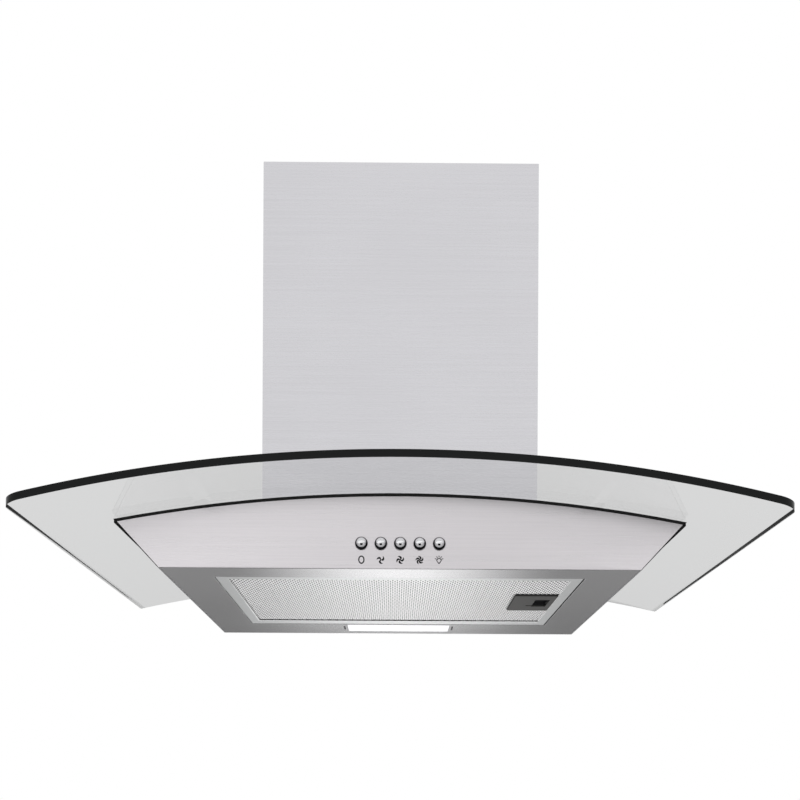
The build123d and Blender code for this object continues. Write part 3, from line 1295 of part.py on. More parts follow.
arm_x = upper_x - SHEET
wall_half = BRACKET_HOLE_SPACING / 2 + 3 * BRACKET_HOLE
jog_half = arm_x - CHIMNEY_RETURN - 2 * STAY_THICKNESS
with BuildPart() as chimney_wall_bracket:
    with BuildSketch(Plane.XY.offset(bracket_top - BRACKET_HEIGHT)):
        with BuildLine():
            t = STAY_THICKNESS
            outer = [(arm_x, -BRACKET_ARM), (arm_x, -BRACKET_JOG), (jog_half, -BRACKET_JOG), (wall_half, 0)]
            inner = [
                (wall_half - t / 2, -t),
                (jog_half - t / 2, -BRACKET_JOG - t),
                (arm_x - t, -BRACKET_JOG - t),
                (arm_x - t, -BRACKET_ARM),
            ]
            right = outer + [(-x, y) for x, y in reversed(outer)]
            left = [(-x, y) for x, y in reversed(inner)] + inner
            Polyline(*right, *left, close=True)
        make_face()
    extrude(amount=BRACKET_HEIGHT)
    with BuildSketch(Plane.XZ):
        with Locations((0, bracket_top - BRACKET_HEIGHT / 2)), GridLocations(BRACKET_HOLE_SPACING, 0, 2, 1):
            Circle(BRACKET_HOLE)
    extrude(amount=2 * BRACKET_JOG, mode=Mode.SUBTRACT)
    with BuildSketch(Plane.YZ):
        with Locations((bracket_screw_y, bracket_top - BRACKET_HEIGHT / 2)):
            Circle(SCREW_RADIUS)
    extrude(amount=chimney_width, both=True, mode=Mode.SUBTRACT)
save(chimney_wall_bracket, "chimney_wall_bracket")

with BuildPart() as upper_screws:
    for side in (-1, 1):
        with BuildSketch(Plane.YZ.offset(side * upper_x)):
            with Locations((bracket_screw_y, bracket_top - BRACKET_HEIGHT / 2)):
                Circle(SCREW_RADIUS)
        extrude(amount=-side * (SHEET + 3 * STAY_THICKNESS))
save(upper_screws, "upper_screws")
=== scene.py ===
"""Curved glass range hood: finishes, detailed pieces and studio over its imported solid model.

Lengths are in metres. +Z is up, +X to the right as seen from the front, and -Y towards the cook. The
origin is on the wall, in the middle of the width, level with the underside.
"""

from __future__ import annotations

import logging
import math
from collections.abc import Callable, Iterator, Sequence
from contextlib import contextmanager
from dataclasses import dataclass, replace
from enum import Enum

import bmesh
import bpy
from mathutils import Matrix, Vector


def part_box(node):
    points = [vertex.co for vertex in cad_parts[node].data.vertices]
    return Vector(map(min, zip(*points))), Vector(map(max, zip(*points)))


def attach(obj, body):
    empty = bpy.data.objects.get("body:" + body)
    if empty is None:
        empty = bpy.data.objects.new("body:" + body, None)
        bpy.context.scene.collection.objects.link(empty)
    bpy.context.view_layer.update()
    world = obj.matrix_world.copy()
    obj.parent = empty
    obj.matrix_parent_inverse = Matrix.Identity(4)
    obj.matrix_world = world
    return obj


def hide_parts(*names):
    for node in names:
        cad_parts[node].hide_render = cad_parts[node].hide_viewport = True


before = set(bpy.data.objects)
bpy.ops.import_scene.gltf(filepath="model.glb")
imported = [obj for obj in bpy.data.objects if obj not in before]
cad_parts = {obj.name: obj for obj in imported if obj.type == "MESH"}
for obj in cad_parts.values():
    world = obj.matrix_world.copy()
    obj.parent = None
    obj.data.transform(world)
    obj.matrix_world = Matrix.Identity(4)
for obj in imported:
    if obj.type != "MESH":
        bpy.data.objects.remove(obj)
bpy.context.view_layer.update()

log = logging.getLogger("hood")

MM = 0.001
TOUCH = 0.1 * MM  # within which a face or an edge counts as lying at a place
WELD = 1e-6  # within which doubled points are merged
FLAT = math.radians(0.5)  # turn between faces, up to which they are one
SHARP = math.radians(50)  # turn of an edge, from which it is rounded
ARCH_RADIUS = 1376.07 * MM  # of the glass's underside and of the fascia's top
WHITE = (1.0, 1.0, 1.0)
Pair = tuple[float, float]
Triple = tuple[float, float, float]
Colour = tuple[float, float, float]
FaceTest = Callable[[Vector, Vector], bool]
LampPlan = tuple[str, Triple, Triple, Pair, float]
Piece = bpy.types.Object
Socket = bpy.types.NodeSocket
Node = bpy.types.Node


# ---------------------------------------------------------------- shader maths
def operator(operation: str, swapped: bool = False) -> Callable[[Signal, Signal | float], Signal]:
    """Method of signals that adds one Math node.

    Args:
        operation: The node's operation.
        swapped: Whether the signal is the node's second input.

    Returns:
        The method.
    """

    def apply(signal: Signal, other: Signal | float) -> Signal:
        """The node's result for this signal and another number."""
        return signal.painter.maths(operation, *((other, signal) if swapped else (signal, other)))

    return apply


class Signal:
    """A number that varies over a surface. Maths on it adds Math nodes to its tree."""

    def __init__(self, painter: Painter, socket: Socket) -> None:
        """Wraps an output socket of the painter's tree."""
        self.painter = painter
        self.socket = socket

    __add__ = __radd__ = operator("ADD")
    __sub__ = operator("SUBTRACT")
    __rsub__ = operator("SUBTRACT", swapped=True)
    __mul__ = __rmul__ = operator("MULTIPLY")
    __truediv__ = operator("DIVIDE")
    __gt__ = operator("GREATER_THAN")
    above = operator("MAXIMUM")

    def held(self) -> Signal:
        """This signal kept between 0 and 1."""
        return self.painter.maths("MINIMUM", self.above(0.0), 1.0)

    def between(self, low: float, high: float) -> Signal:
        """This signal, from 0 to 1, spread from low to high."""
        return self * (high - low) + low


class Painter:
    """Adds nodes to one node tree."""

    def __init__(self, tree: bpy.types.NodeTree) -> None:
        """Empties the tree."""
        self.tree = tree
        tree.nodes.clear()

    def node(self, kind: str, settings: dict | None = None, inputs: dict | None = None) -> Node:
        """Adds a node.

        Args:
            kind: The node's type.
            settings: Its settings, set first.
            inputs: Values or links for its sockets, by name or number.

        Returns:
            The node.
        """
        node = self.tree.nodes.new(kind)
        for key, value in (settings or {}).items():
            setattr(node, key, value)
        for key, value in (inputs or {}).items():
            self.feed(node.inputs[key], value)
        return node

    def feed(self, socket: Socket, value: object) -> None:
        """Links a signal or socket to a socket, or sets its value."""
        if isinstance(value, Signal):
            value = value.socket
        if isinstance(value, Socket):
            self.tree.links.new(value, socket)
        elif isinstance(value, (tuple, list)) and socket.type == "RGBA" and len(value) == 3:
            socket.default_value = (*value, 1.0)
        else:
            socket.default_value = value

    def maths(self, operation: str, *values: Signal | float) -> Signal:
        """Adds a Math node and returns its result."""
        node = self.node("ShaderNodeMath", {"operation": operation}, dict(enumerate(values)))
        return Signal(self, node.outputs[0])

    def point(self) -> Socket:
        """The point in the object's own coordinates."""
        return self.node("ShaderNodeTexCoord").outputs["Object"]

    def axes(self) -> tuple[Signal, Signal, Signal]:
        """The point's x, y and z in the object's own coordinates."""
        split = self.node("ShaderNodeSeparateXYZ", inputs={0: self.point()})
        return tuple(Signal(self, split.outputs[i]) for i in range(3))

    def stretched(self, scale: Triple | float, shift: float = 0.0) -> Socket:
        """The point multiplied by one scale or by one for each axis, then shifted alike on all three."""
        scale = scale if isinstance(scale, tuple) else (scale,) * 3
        inputs = {"Vector": self.point(), "Scale": scale, "Location": (shift,) * 3}
        return self.node("ShaderNodeMapping", inputs=inputs).outputs["Vector"]

    def noise(
        self, scale: Triple | float, detail: float = 2.0, rough: float = 0.5, shift: float = 0.0
    ) -> Signal:
        """Smooth noise from 0 to 1, with this many periods in a metre."""
        inputs = {"Vector": self.stretched(scale, shift), "Scale": 1.0, "Detail": detail, "Roughness": rough}
        return Signal(self, self.node("ShaderNodeTexNoise", inputs=inputs).outputs["Fac"])

    def rays(self) -> tuple[Signal, Signal, Signal]:
        """Whether the ray comes from the camera, from a mirror image or through glass, each 0 or 1."""
        outputs = self.node("ShaderNodeLightPath").outputs
        kinds = ("Camera", "Glossy", "Transmission")
        direct, glossy, past = (Signal(self, outputs[f"Is {kind} Ray"]) for kind in kinds)
        return direct, glossy * (1.0 - past), past

    def blend(self, factor: Signal | float, first: object, second: object) -> Socket:
        """Mixes two colours."""
        node = self.node("ShaderNodeMix", {"data_type": "RGBA"}, {0: factor, 6: first, 7: second})
        return node.outputs[2]

    def shades(self, factor: Signal, shade: Colour, low: float, high: float = 1.0) -> Socket:
        """Mixes two tones of one colour, each the colour times a number."""
        return self.blend(factor, *(tuple(min(c * tone, 1.0) for c in shade) for tone in (low, high)))

    def bump(self, height: Signal, depth: float) -> Socket:
        """Normal of a surface with this relief, a signal from 0 to 1 times the depth."""
        return self.node("ShaderNodeBump", inputs={"Height": height, "Distance": depth}).outputs["Normal"]

    def glow(self, strength: Signal | float) -> Socket:
        """Adds a white Emission shader."""
        return self.node("ShaderNodeEmission", inputs={"Color": WHITE, "Strength": strength}).outputs[0]

    def surface(self, **sockets: object) -> Node:
        """Adds a Principled shader, its sockets named with underscores, and the output it feeds."""
        shader = self.node(
            "ShaderNodeBsdfPrincipled", inputs={key.replace("_", " "): v for key, v in sockets.items()}
        )
        self.node("ShaderNodeOutputMaterial", inputs={"Surface": shader.outputs[0]})
        return shader


# ---------------------------------------------------------------- finishes
@dataclass(frozen=True)
class Finish:
    """A finish, made a material once."""

    name: str

    def paint(self, painter: Painter) -> None:
        """Adds this finish's nodes."""
        raise NotImplementedError

    def material(self) -> bpy.types.Material:
        """The finish as a material, made at its first use."""
        material = bpy.data.materials.get(self.name)
        if material is None:
            material = bpy.data.materials.new(self.name)
            material.use_nodes = True
            self.paint(Painter(material.node_tree))
        return material


class Grain(Enum):
    """Which way a sheet is brushed. The value scales its lines on x, y and z."""

    LEVEL = (0.004, 0.004, 1.0)  # level lines on upright sheets
    ACROSS = (0.004, 1.0, 1.0)  # lines from left to right on level sheets


@dataclass(frozen=True)
class BrushedSteel(Finish):
    """Stainless sheet with fine parallel brushing."""

    grain: Grain = Grain.LEVEL
    shade: Colour = (0.64, 0.635, 0.66)
    depth: float = 0.8e-5
    roughness: float = 0.26

    def paint(self, painter: Painter) -> None:
        """Fine and coarse brush lines in colour, gloss and relief, over broad cloudiness."""
        fine = painter.noise(tuple(5200 * axis for axis in self.grain.value), 3.0, 0.6)
        coarse = painter.noise(tuple(900 * axis for axis in self.grain.value), shift=7.0)
        cloud = painter.noise(9.0, shift=3.0)
        streak = (fine * 0.6 + coarse * 0.4).held()
        tone = ((streak - 0.5) * 1.5 + (cloud - 0.5) * 0.4 + 0.5).held()
        painter.surface(
            Base_Color=self.with_painted_shade(painter, painter.shades(tone, self.shade, 0.90, 1.09)),
            Metallic=1.0,
            Roughness=streak.between(self.roughness - 0.05, self.roughness + 0.07) + (cloud - 0.5) * 0.05,
            Normal=painter.bump(streak, self.depth),
        )

    def with_painted_shade(self, painter: Painter, colour: Socket) -> Socket:
        """The colour as it is, with no painted shade, for sheets of one tone."""
        return colour


@dataclass(frozen=True)
class FasciaSteel(BrushedSteel):
    """Brushed steel with a painted shadow along its arched top, where the gasket and glass overhang it: the
    colour darkens towards the gasket.
    """

    crown: float = 60.3 * MM  # height of the arch in its middle
    # how far below the arch the painted shadow reaches
    reach: float = 15.0 * MM
    # strength of the painted shadow at the arch
    shadow_strength: float = 0.62
    aside: Pair = (0.85, 2.6)  # share of the painted shadow in the middle, and its growth per metre to the right
    # colour of the painted shadow
    dark: Colour = (0.10, 0.10, 0.105)

    def with_painted_shade(self, painter: Painter, colour: Socket) -> Socket:
        """Colour darkened just below the arch: painted shadow of the gasket and glass."""
        x, _, z = painter.axes()
        below = x * x * (-0.5 / ARCH_RADIUS) + self.crown - z
        near = (1.0 - below / self.reach).held()
        share = (x * self.aside[1] + self.aside[0]).held()
        return painter.blend(near * near * share * self.shadow_strength, colour, self.dark)


@dataclass(frozen=True)
class GalvanisedSteel(Finish):
    """Zinc-coated sheet with its spangle."""

    shade: Colour = (0.56, 0.58, 0.60)

    def paint(self, painter: Painter) -> None:
        """Crystal patches a few millimetres across, each with its own shade and gloss."""
        inputs = {"Vector": painter.stretched(130.0), "Scale": 1.0}
        cells = painter.node("ShaderNodeTexVoronoi", inputs=inputs)
        split = painter.node("ShaderNodeSeparateColor", inputs={0: cells.outputs["Color"]})
        feather = painter.noise((700.0, 160.0, 700.0), 3.0, 0.6)
        mixed = (Signal(painter, split.outputs[0]) * 0.7 + feather * 0.3).held()
        painter.surface(
            Base_Color=painter.shades(mixed, self.shade, 0.78, 1.12),
            Metallic=0.95,
            Roughness=mixed.between(0.34, 0.52),
            Normal=painter.bump(mixed, 1.5e-5),
        )


@dataclass(frozen=True)
class Grained(Finish):
    """Surface with a fine grain in its relief and broader clouds, both mixed into colour and gloss."""

    shade: Colour
    roughness: Pair  # least and most
    grain: tuple[Triple | float, float, float]  # scale, detail and roughness of the fine noise
    relief: float  # depth of the grain
    clouds: Triple = (35.0, 2.0, 0.5)
    tones: Pair = (0.95, 1.0)  # darkest and palest, as multiples of the shade
    shares: Pair = (0.5, 0.5)  # of the grain, in the colour and in the gloss
    metal: float = 0.0
    specular: float = 0.5
    coat: Pair | None = None

    def paint(self, painter: Painter) -> None:
        """Relief from the grain alone, colour and gloss from grain and clouds, and a coat if there is one."""
        grain, clouds = painter.noise(*self.grain), painter.noise(*self.clouds)
        colour, gloss = (grain * share + clouds * (1.0 - share) for share in self.shares)
        painter.surface(
            Base_Color=painter.shades(colour, self.shade, *self.tones),
            Metallic=self.metal,
            Roughness=gloss.between(*self.roughness),
            Specular_IOR_Level=self.specular,
            Coat_Weight=grain.between(*self.coat) if self.coat else 0.0,
            Normal=painter.bump(grain, self.relief),
        )


@dataclass(frozen=True)
class ClearGlass(Finish):
    """Clear toughened glass."""

    shade: Colour = (0.990, 0.994, 0.994)
    bend: float = 1.11

    def paint(self, painter: Painter) -> None:
        """Clear body with the faint roller waves of toughened glass."""
        waves = painter.noise((6.0, 22.0, 6.0), 1.0)
        film = painter.noise(40.0, 3.0)
        painter.surface(
            Base_Color=self.shade,
            Roughness=film.between(0.0, 0.012),
            IOR=self.bend,
            Transmission_Weight=1.0,
            Normal=painter.bump(waves, 4.0e-6),
        )


@dataclass(frozen=True)
class LitLens(Finish):
    """Opal lamp lens with the diodes glowing through it, dimmer towards its edge."""

    middle: float = -42.0 * MM
    half: Pair = (56.5 * MM, 21.5 * MM)
    edge: Pair = (10.0 * MM, 13.0 * MM)  # over which the glow falls off, along x and y
    pitch: float = 11.3 * MM  # of the diodes
    rib: float = 1.6 * MM
    glow: float = 0.9

    def paint(self, painter: Painter) -> None:
        """Soft brighter patch in front of each diode, over faint ribs."""
        x, y, _ = painter.axes()
        away = (painter.maths("ABSOLUTE", x), painter.maths("ABSOLUTE", y - self.middle))
        along, across = (((self.half[i] - away[i]) / self.edge[i]).held() for i in range(2))
        inside = along * across
        patch = painter.maths("COSINE", x * (2 * math.pi / self.pitch)) * 0.08 + 0.92
        ribs = painter.maths("SINE", x * (2 * math.pi / self.rib)) * 0.5 + 0.5
        painter.surface(
            Base_Color=painter.blend(inside, (0.62, 0.62, 0.63), (0.86, 0.86, 0.86)),
            Roughness=ribs.between(0.28, 0.36),
            Emission_Color=painter.blend((inside * patch).held(), (0.30, 0.30, 0.31), WHITE),
            Emission_Strength=self.glow,
            Normal=painter.bump(ribs, 2.0e-5),
        )


@dataclass(frozen=True)
class CircuitBoard(Finish):
    """White lamp board with faint copper tracks under its lacquer."""

    lane: float = 2.2  # millimetres from track to track
    jog: float = 6.0  # millimetres from one step of the tracks to the next

    def paint(self, painter: Painter) -> None:
        """Tracks show as slightly raised, slightly darker bands."""
        x, y, _ = painter.axes()
        step = painter.maths("SNAP", x * 1000.0, self.jog) * 0.3
        track = painter.maths("PINGPONG", y * 1000.0 + step, self.lane) > self.lane / 2
        fibre = painter.noise(1800.0)
        painter.surface(
            Base_Color=painter.blend(track * 0.8 + fibre * 0.2, (0.86, 0.87, 0.85), (0.70, 0.72, 0.70)),
            Roughness=fibre.between(0.25, 0.4),
            Normal=painter.bump(track, 2.0e-5),
        )


@dataclass(frozen=True)
class StudioFloor(Finish):
    """Pale matt studio floor."""

    shade: Colour = (0.80, 0.80, 0.80)
    near: float = -1.6  # where the white in mirror images begins
    far: float = -3.4  # and where it is full
    middle: float = 0.86  # of the white shown straight ahead
    slope: float = 0.09  # more of it to the left
    pale: float = 0.55  # of white in what the eye sees
    back: float = 4.0  # where mirror images begin to darken
    beyond: float = 2.2  # and over what distance they do
    fall: float = 0.62  # how much less is shown far behind

    def paint(self, painter: Painter) -> None:
        """Almost even pale surface. Mirror images show it whiter far out in front and darker far behind."""
        direct, mirrored, past = painter.rays()
        x, y, _ = painter.axes()
        ahead = ((y - self.near) / (self.far - self.near)).held() * (x * -self.slope + self.middle).held()
        behind = ((y - self.back) / self.beyond).held() * mirrored
        pale = painter.shades(painter.noise(1.5), self.shade, 0.985)
        colour = painter.blend(behind * self.fall, pale, (0.10, 0.10, 0.10))
        matt = painter.node(
            "ShaderNodeBsdfPrincipled",
            inputs={"Base Color": colour, "Roughness": 0.85, "Specular IOR Level": 0.1},
        )
        factor = ahead * mirrored + direct.above(past) * self.pale
        inputs = {0: factor, 1: matt.outputs[0], 2: painter.glow(1.0)}
        mixed = painter.node("ShaderNodeMixShader", inputs=inputs)
        painter.node("ShaderNodeOutputMaterial", inputs={"Surface": mixed.outputs[0]})


@dataclass(frozen=True)
class DarkCard(Finish):
    """Black card below the camera, which gives the chrome a dark point."""

    def paint(self, painter: Painter) -> None:
        """Even black."""
        painter.surface(Base_Color=(0.01, 0.01, 0.01), Roughness=0.9, Specular_IOR_Level=0.0)


# Sheet
LEVEL_STEEL = BrushedSteel("level_brushed_steel")
# its colour carries a painted shadow below the gasket
FASCIA_STEEL = FasciaSteel("fascia_steel_painted_shade", shade=(0.775, 0.748, 0.770), roughness=0.28)
# darker than the other sheets of the same steel: painted shade on the downward-facing underside
UNDERSIDE_SHADED_STEEL = BrushedSteel("underside_steel_painted_shade", Grain.ACROSS, (0.54, 0.535, 0.545), 1.0e-5, 0.15)
ZINC = GalvanisedSteel("zinc_coated_steel")

# Plating, with wipe marks in its gloss
CHROME = Grained(
    "chrome", (0.90, 0.90, 0.92), (0.05, 0.09), ((900.0, 900.0, 2600.0), 3.0, 0.6), relief=1.0e-6,
    clouds=(120.0, 2.0, 0.5), shares=(0.0, 1.0), metal=1.0,
)
BUTTON_CHROME = replace(CHROME, name="button_chrome", roughness=(0.015, 0.035))
SCREW_ZINC = replace(CHROME, name="screw_zinc", shade=(0.62, 0.63, 0.64), roughness=(0.22, 0.36))

# Glass, and its polished front edge in near-black: painted shade for how dark the edge looks, seen through so
# much glass
GLASS = ClearGlass("clear_glass")
GLASS_EDGE = Grained(
    "glass_edge_painted_shade", (0.0055, 0.006, 0.006), (0.10, 0.22), ((30.0, 30.0, 1800.0), 3.0, 0.6), relief=2.0e-6,
    tones=(1.0, 1.6), shares=(1.0, 1.0), specular=0.10,
)

# Moulded plastic and rubber, with the fine pits of the mould
BLACK_PLASTIC = Grained(
    "black_plastic", (0.045, 0.046, 0.050), (0.36, 0.50), (1600.0, 2.0, 0.6), relief=3.0e-5,
    tones=(0.88, 1.12), shares=(0.4, 0.5),
)
GREY_PLASTIC = replace(BLACK_PLASTIC, name="grey_plastic", shade=(0.42, 0.43, 0.45), roughness=(0.39, 0.53))
DEEP_BLACK = replace(
    BLACK_PLASTIC, name="deep_black_plastic", shade=(0.012, 0.012, 0.013), roughness=(0.44, 0.58),
    relief=2.0e-5, specular=0.15,
)
LATCH_PLASTIC = replace(
    DEEP_BLACK, name="latch_plastic", shade=(0.029, 0.0285, 0.027), relief=1.5e-5, specular=0.3
)
RUBBER = replace(
    DEEP_BLACK, name="black_rubber", shade=(0.008, 0.008, 0.008), roughness=(0.54, 0.68),
    grain=(900.0, 2.0, 0.6),
)
GLOSS_BLACK = replace(
    DEEP_BLACK, name="gloss_black", shade=(0.004, 0.004, 0.005), roughness=(0.14, 0.28),
    grain=(700.0, 2.0, 0.6), relief=2.0e-6, specular=0.12,
)

# Coats of paint, with orange peel in their relief and dust in their colour
WHITE_COAT = Grained(
    "white_powder_coat", (0.83, 0.83, 0.82), (0.31, 0.43), (420.0, 1.0, 0.5), relief=2.5e-5,
    clouds=(60.0, 4.0, 0.6), tones=(0.93, 1.0), shares=(0.0, 0.0), coat=(0.15, 0.3),
)
MOTOR_BLACK = replace(WHITE_COAT, name="motor_paint", shade=(0.05, 0.05, 0.055), roughness=(0.36, 0.48))

# Bare rolled aluminium, with rolling lines and handling marks
ALUMINIUM = Grained(
    "filter_aluminium", (0.76, 0.755, 0.765), (0.36, 0.52), ((60.0, 2400.0, 2400.0), 3.0, 0.6), relief=6.0e-6,
    clouds=(45.0, 4.0, 0.65), tones=(0.90, 1.0), metal=0.85,
)
MESH_ALUMINIUM = replace(
    ALUMINIUM, name="mesh_aluminium", shade=(0.98, 0.975, 0.98), roughness=(0.22, 0.38), metal=0.42
)
# the same aluminium made near-black: painted shade on the filter core inside the cassette
CORE_SHADED_ALUMINIUM = replace(
    ALUMINIUM, name="core_aluminium_painted_shade", shade=(0.10, 0.10, 0.105), roughness=(0.34, 0.50), metal=0.9
)
# a paler, less metallic copy of the aluminium: painted highlight on the frame's hems
HEM_HIGHLIGHT = replace(
    ALUMINIUM, name="painted_hem_highlight", shade=(0.95, 0.95, 0.95), roughness=(0.44, 0.60), metal=0.15
)

# Print, with no relief, then the lamp and the stage
INK = Grained(
    "print_ink", (0.004, 0.004, 0.005), (0.5, 0.65), (2500.0, 2.0, 0.5), relief=0.0,
    tones=(1.0, 1.5), shares=(1.0, 1.0), specular=0.12,
)
LENS = LitLens("lit_lens")
BOARD = CircuitBoard("lamp_board")
FLOOR = StudioFloor("studio_floor")
CARD = DarkCard("dark_card")


# ---------------------------------------------------------------- hand tools
class Bench:
    """Blender's modelling operators, used on one mesh at a time."""

    @staticmethod
    def stand(name: str, data: bpy.types.ID) -> Piece:
        """Puts data into the scene as an object."""
        thing = bpy.data.objects.new(name, data)
        bpy.context.scene.collection.objects.link(thing)
        return thing

    @staticmethod
    def add(name: str, kind: str, **settings: object) -> Piece:
        """Adds a mesh primitive under a name, its origin on the scene's, nothing else selected."""
        bpy.ops.object.select_all(action="DESELECT")
        getattr(bpy.ops.mesh, f"primitive_{kind}_add")(**settings)
        bpy.ops.object.transform_apply(location=True, rotation=False, scale=False)
        piece = bpy.context.active_object
        piece.name = piece.data.name = name
        return piece

    @staticmethod
    def grip(piece: Piece) -> None:
        """Selects this piece alone and makes it active."""
        bpy.ops.object.select_all(action="DESELECT")
        bpy.context.view_layer.objects.active = piece
        piece.select_set(True)

    @staticmethod
    @contextmanager
    def at_work(piece: Piece, kind: str = "FACE", whole: bool = True) -> Iterator[None]:
        """Edit mode on one piece, with the whole of it or nothing selected at first."""
        Bench.grip(piece)
        bpy.ops.object.mode_set(mode="EDIT")
        bpy.ops.mesh.select_mode(type=kind)
        bpy.ops.mesh.select_all(action="SELECT" if whole else "DESELECT")
        yield
        bpy.ops.object.mode_set(mode="OBJECT")

    @staticmethod
    def pick_faces(piece: Piece, test: FaceTest) -> None:
        """Selects the faces whose middle and normal pass the test, in edit mode."""
        mesh = bmesh.from_edit_mesh(piece.data)
        for face in mesh.faces:
            face.select_set(test(face.calc_center_median(), face.normal))
        bmesh.update_edit_mesh(piece.data)

    @staticmethod
    def pick_edges(piece: Piece, test: FaceTest) -> None:
        """Selects the edges whose middle and direction pass the test, in edit mode."""
        mesh = bmesh.from_edit_mesh(piece.data)
        for edge in mesh.edges:
            first, second = (vertex.co for vertex in edge.verts)
            edge.select_set(test((first + second) / 2, (second - first).normalized()))
        bmesh.update_edit_mesh(piece.data)

    @staticmethod
    def extrude(rise: float) -> None:
        """Extrudes the selection upwards."""
        bpy.ops.mesh.extrude_region_move(TRANSFORM_OT_translate={"value": (0, 0, rise)})

    @staticmethod
    def resize(x: float, y: float, z: float, about: Triple) -> None:
        """Scales the selection about a point."""
        bpy.ops.transform.resize(value=(x, y, z), center_override=about)

    @staticmethod
    def close_up() -> None:
        """Merges doubles and turns every face outwards, in edit mode."""
        bpy.ops.mesh.select_all(action="SELECT")
        bpy.ops.mesh.remove_doubles(threshold=WELD)
        bpy.ops.mesh.normals_make_consistent(inside=False)

    @staticmethod
    def fit(piece: Piece, kind: str, **settings: object) -> None:
        """Adds a modifier to the piece and applies it."""
        Bench.grip(piece)
        modifier = piece.modifiers.new(kind.lower(), kind)
        for key, value in settings.items():
            setattr(modifier, key, value)
        bpy.ops.object.modifier_apply(modifier=modifier.name)

    @staticmethod
    def bevel(piece: Piece, width: float, segments: int, **settings: object) -> None:
        """Rounds a piece's sharp edges."""
        settings |= {"width": width, "segments": segments, "limit_method": "ANGLE", "angle_limit": SHARP}
        Bench.fit(piece, "BEVEL", **settings)

    @staticmethod
    def smooth(piece: Piece, angle: float = 35.0) -> None:
        """Shades the piece smooth where its faces meet by less than this many degrees."""
        Bench.grip(piece)
        bpy.ops.object.shade_smooth_by_angle(angle=math.radians(angle))

    @staticmethod
    def turned(
        name: str, rings: Sequence[Pair], segments: int = 48, hollow: bool = False, angle: float = 35.0
    ) -> Piece:
        """Turns a piece about the z axis, as on a lathe.

        Args:
            name: The piece's name.
            rings: Radius and height of each ring in millimetres, from one end to the other.
            segments: Faces round each ring.
            hollow: Whether the ends stay open. The last ring then meets the first.
            angle: Degrees below which faces that meet are shaded smooth.

        Returns:
            The piece, its axis through the origin.
        """
        radius, height = rings[0]
        fill, kind = ("NOTHING", "EDGE") if hollow else ("NGON", "FACE")
        at = (0, 0, height * MM)
        piece = Bench.add(name, "circle", vertices=segments, radius=radius * MM, fill_type=fill, location=at)
        with Bench.at_work(piece, kind):
            for wide, high in rings[1:]:
                Bench.extrude((high - height) * MM)
                Bench.resize(wide / radius, wide / radius, 1.0, (0, 0, high * MM))
                radius, height = wide, high
            Bench.close_up()
        Bench.smooth(piece, angle)
        return piece

    @staticmethod
    def joined(name: str, pieces: Sequence[Piece]) -> Piece:
        """Joins pieces into one under a name."""
        Bench.grip(pieces[0])
        for piece in pieces:
            piece.select_set(True)
        bpy.ops.object.join()
        pieces[0].name = pieces[0].data.name = name
        return pieces[0]

    @staticmethod
    def copy(piece: Piece, name: str, place: Matrix) -> Piece:
        """Copies a piece with a mesh of its own, moved to a place."""
        twin = Bench.stand(name, piece.data.copy())
        twin.data.name = name
        twin.data.transform(place)
        return twin

    @staticmethod
    def drop(*pieces: Piece) -> None:
        """Deletes patterns and cutters."""
        for piece in pieces:
            bpy.data.objects.remove(piece)


def placed(origin: Sequence[float], normal: Sequence[float]) -> Matrix:
    """Matrix that stands a piece's z axis along a normal, with its x axis near the scene's.

    Args:
        origin: Where the piece's origin goes.
        normal: Where its z axis points.

    Returns:
        The 4x4 matrix.
    """
    z = Vector(normal).normalized()
    y = z.cross(Vector((1, 0, 0))).normalized()
    x = y.cross(z)
    matrix = Matrix((x, y, z)).transposed().to_4x4()
    matrix.translation = Vector(origin)
    return matrix


def merged(node: str) -> Piece:
    """Copies a solid's node with its loose triangles merged into whole faces."""
    piece = Bench.copy(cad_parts[node], f"{node}_rounded", Matrix.Identity(4))
    with Bench.at_work(piece):
        bpy.ops.mesh.remove_doubles(threshold=WELD)
        bpy.ops.mesh.dissolve_limited(angle_limit=FLAT)
    return piece


def rounded(piece: Piece, width: float, segments: int = 2) -> Piece:
    """Rounds a piece's sharp edges, as folding and deburring leave them.

    Args:
        piece: The merged piece.
        width: How far each rounding reaches from its edge.
        segments: Faces across each rounding.

    Returns:
        The same piece, smooth, and no larger than it was.
    """
    spots = [vertex.co for vertex in piece.data.vertices]
    low = [min(spot[i] for spot in spots) for i in range(3)]
    high = [max(spot[i] for spot in spots) for i in range(3)]
    Bench.bevel(piece, width, segments, use_clamp_overlap=False)
    for vertex in piece.data.vertices:
        vertex.co = [min(max(vertex.co[i], low[i]), high[i]) for i in range(3)]
    Bench.smooth(piece)
    Bench.fit(piece, "WEIGHTED_NORMAL", mode="FACE_AREA", weight=80, keep_sharp=True)
    return piece


def dress(piece: Piece, *finishes: Finish) -> None:
    """Gives a piece these finishes, in the order of its faces' material numbers."""
    materials = piece.data.materials
    materials.clear()
    for finish in finishes:
        materials.append(finish.material())


def settle(piece: Piece, body: str, slot: str, *nodes: str) -> None:
    """Makes a finished piece ride on its body and replaces the nodes it stands for.

    Args:
        piece: The finished piece.
        body: The body it moves with.
        slot: Not used.
        nodes: The nodes it replaces.
    """
    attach(piece, body)
    if nodes:
        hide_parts(*nodes)
    log.info("%s: %d faces", piece.name, len(piece.data.polygons))


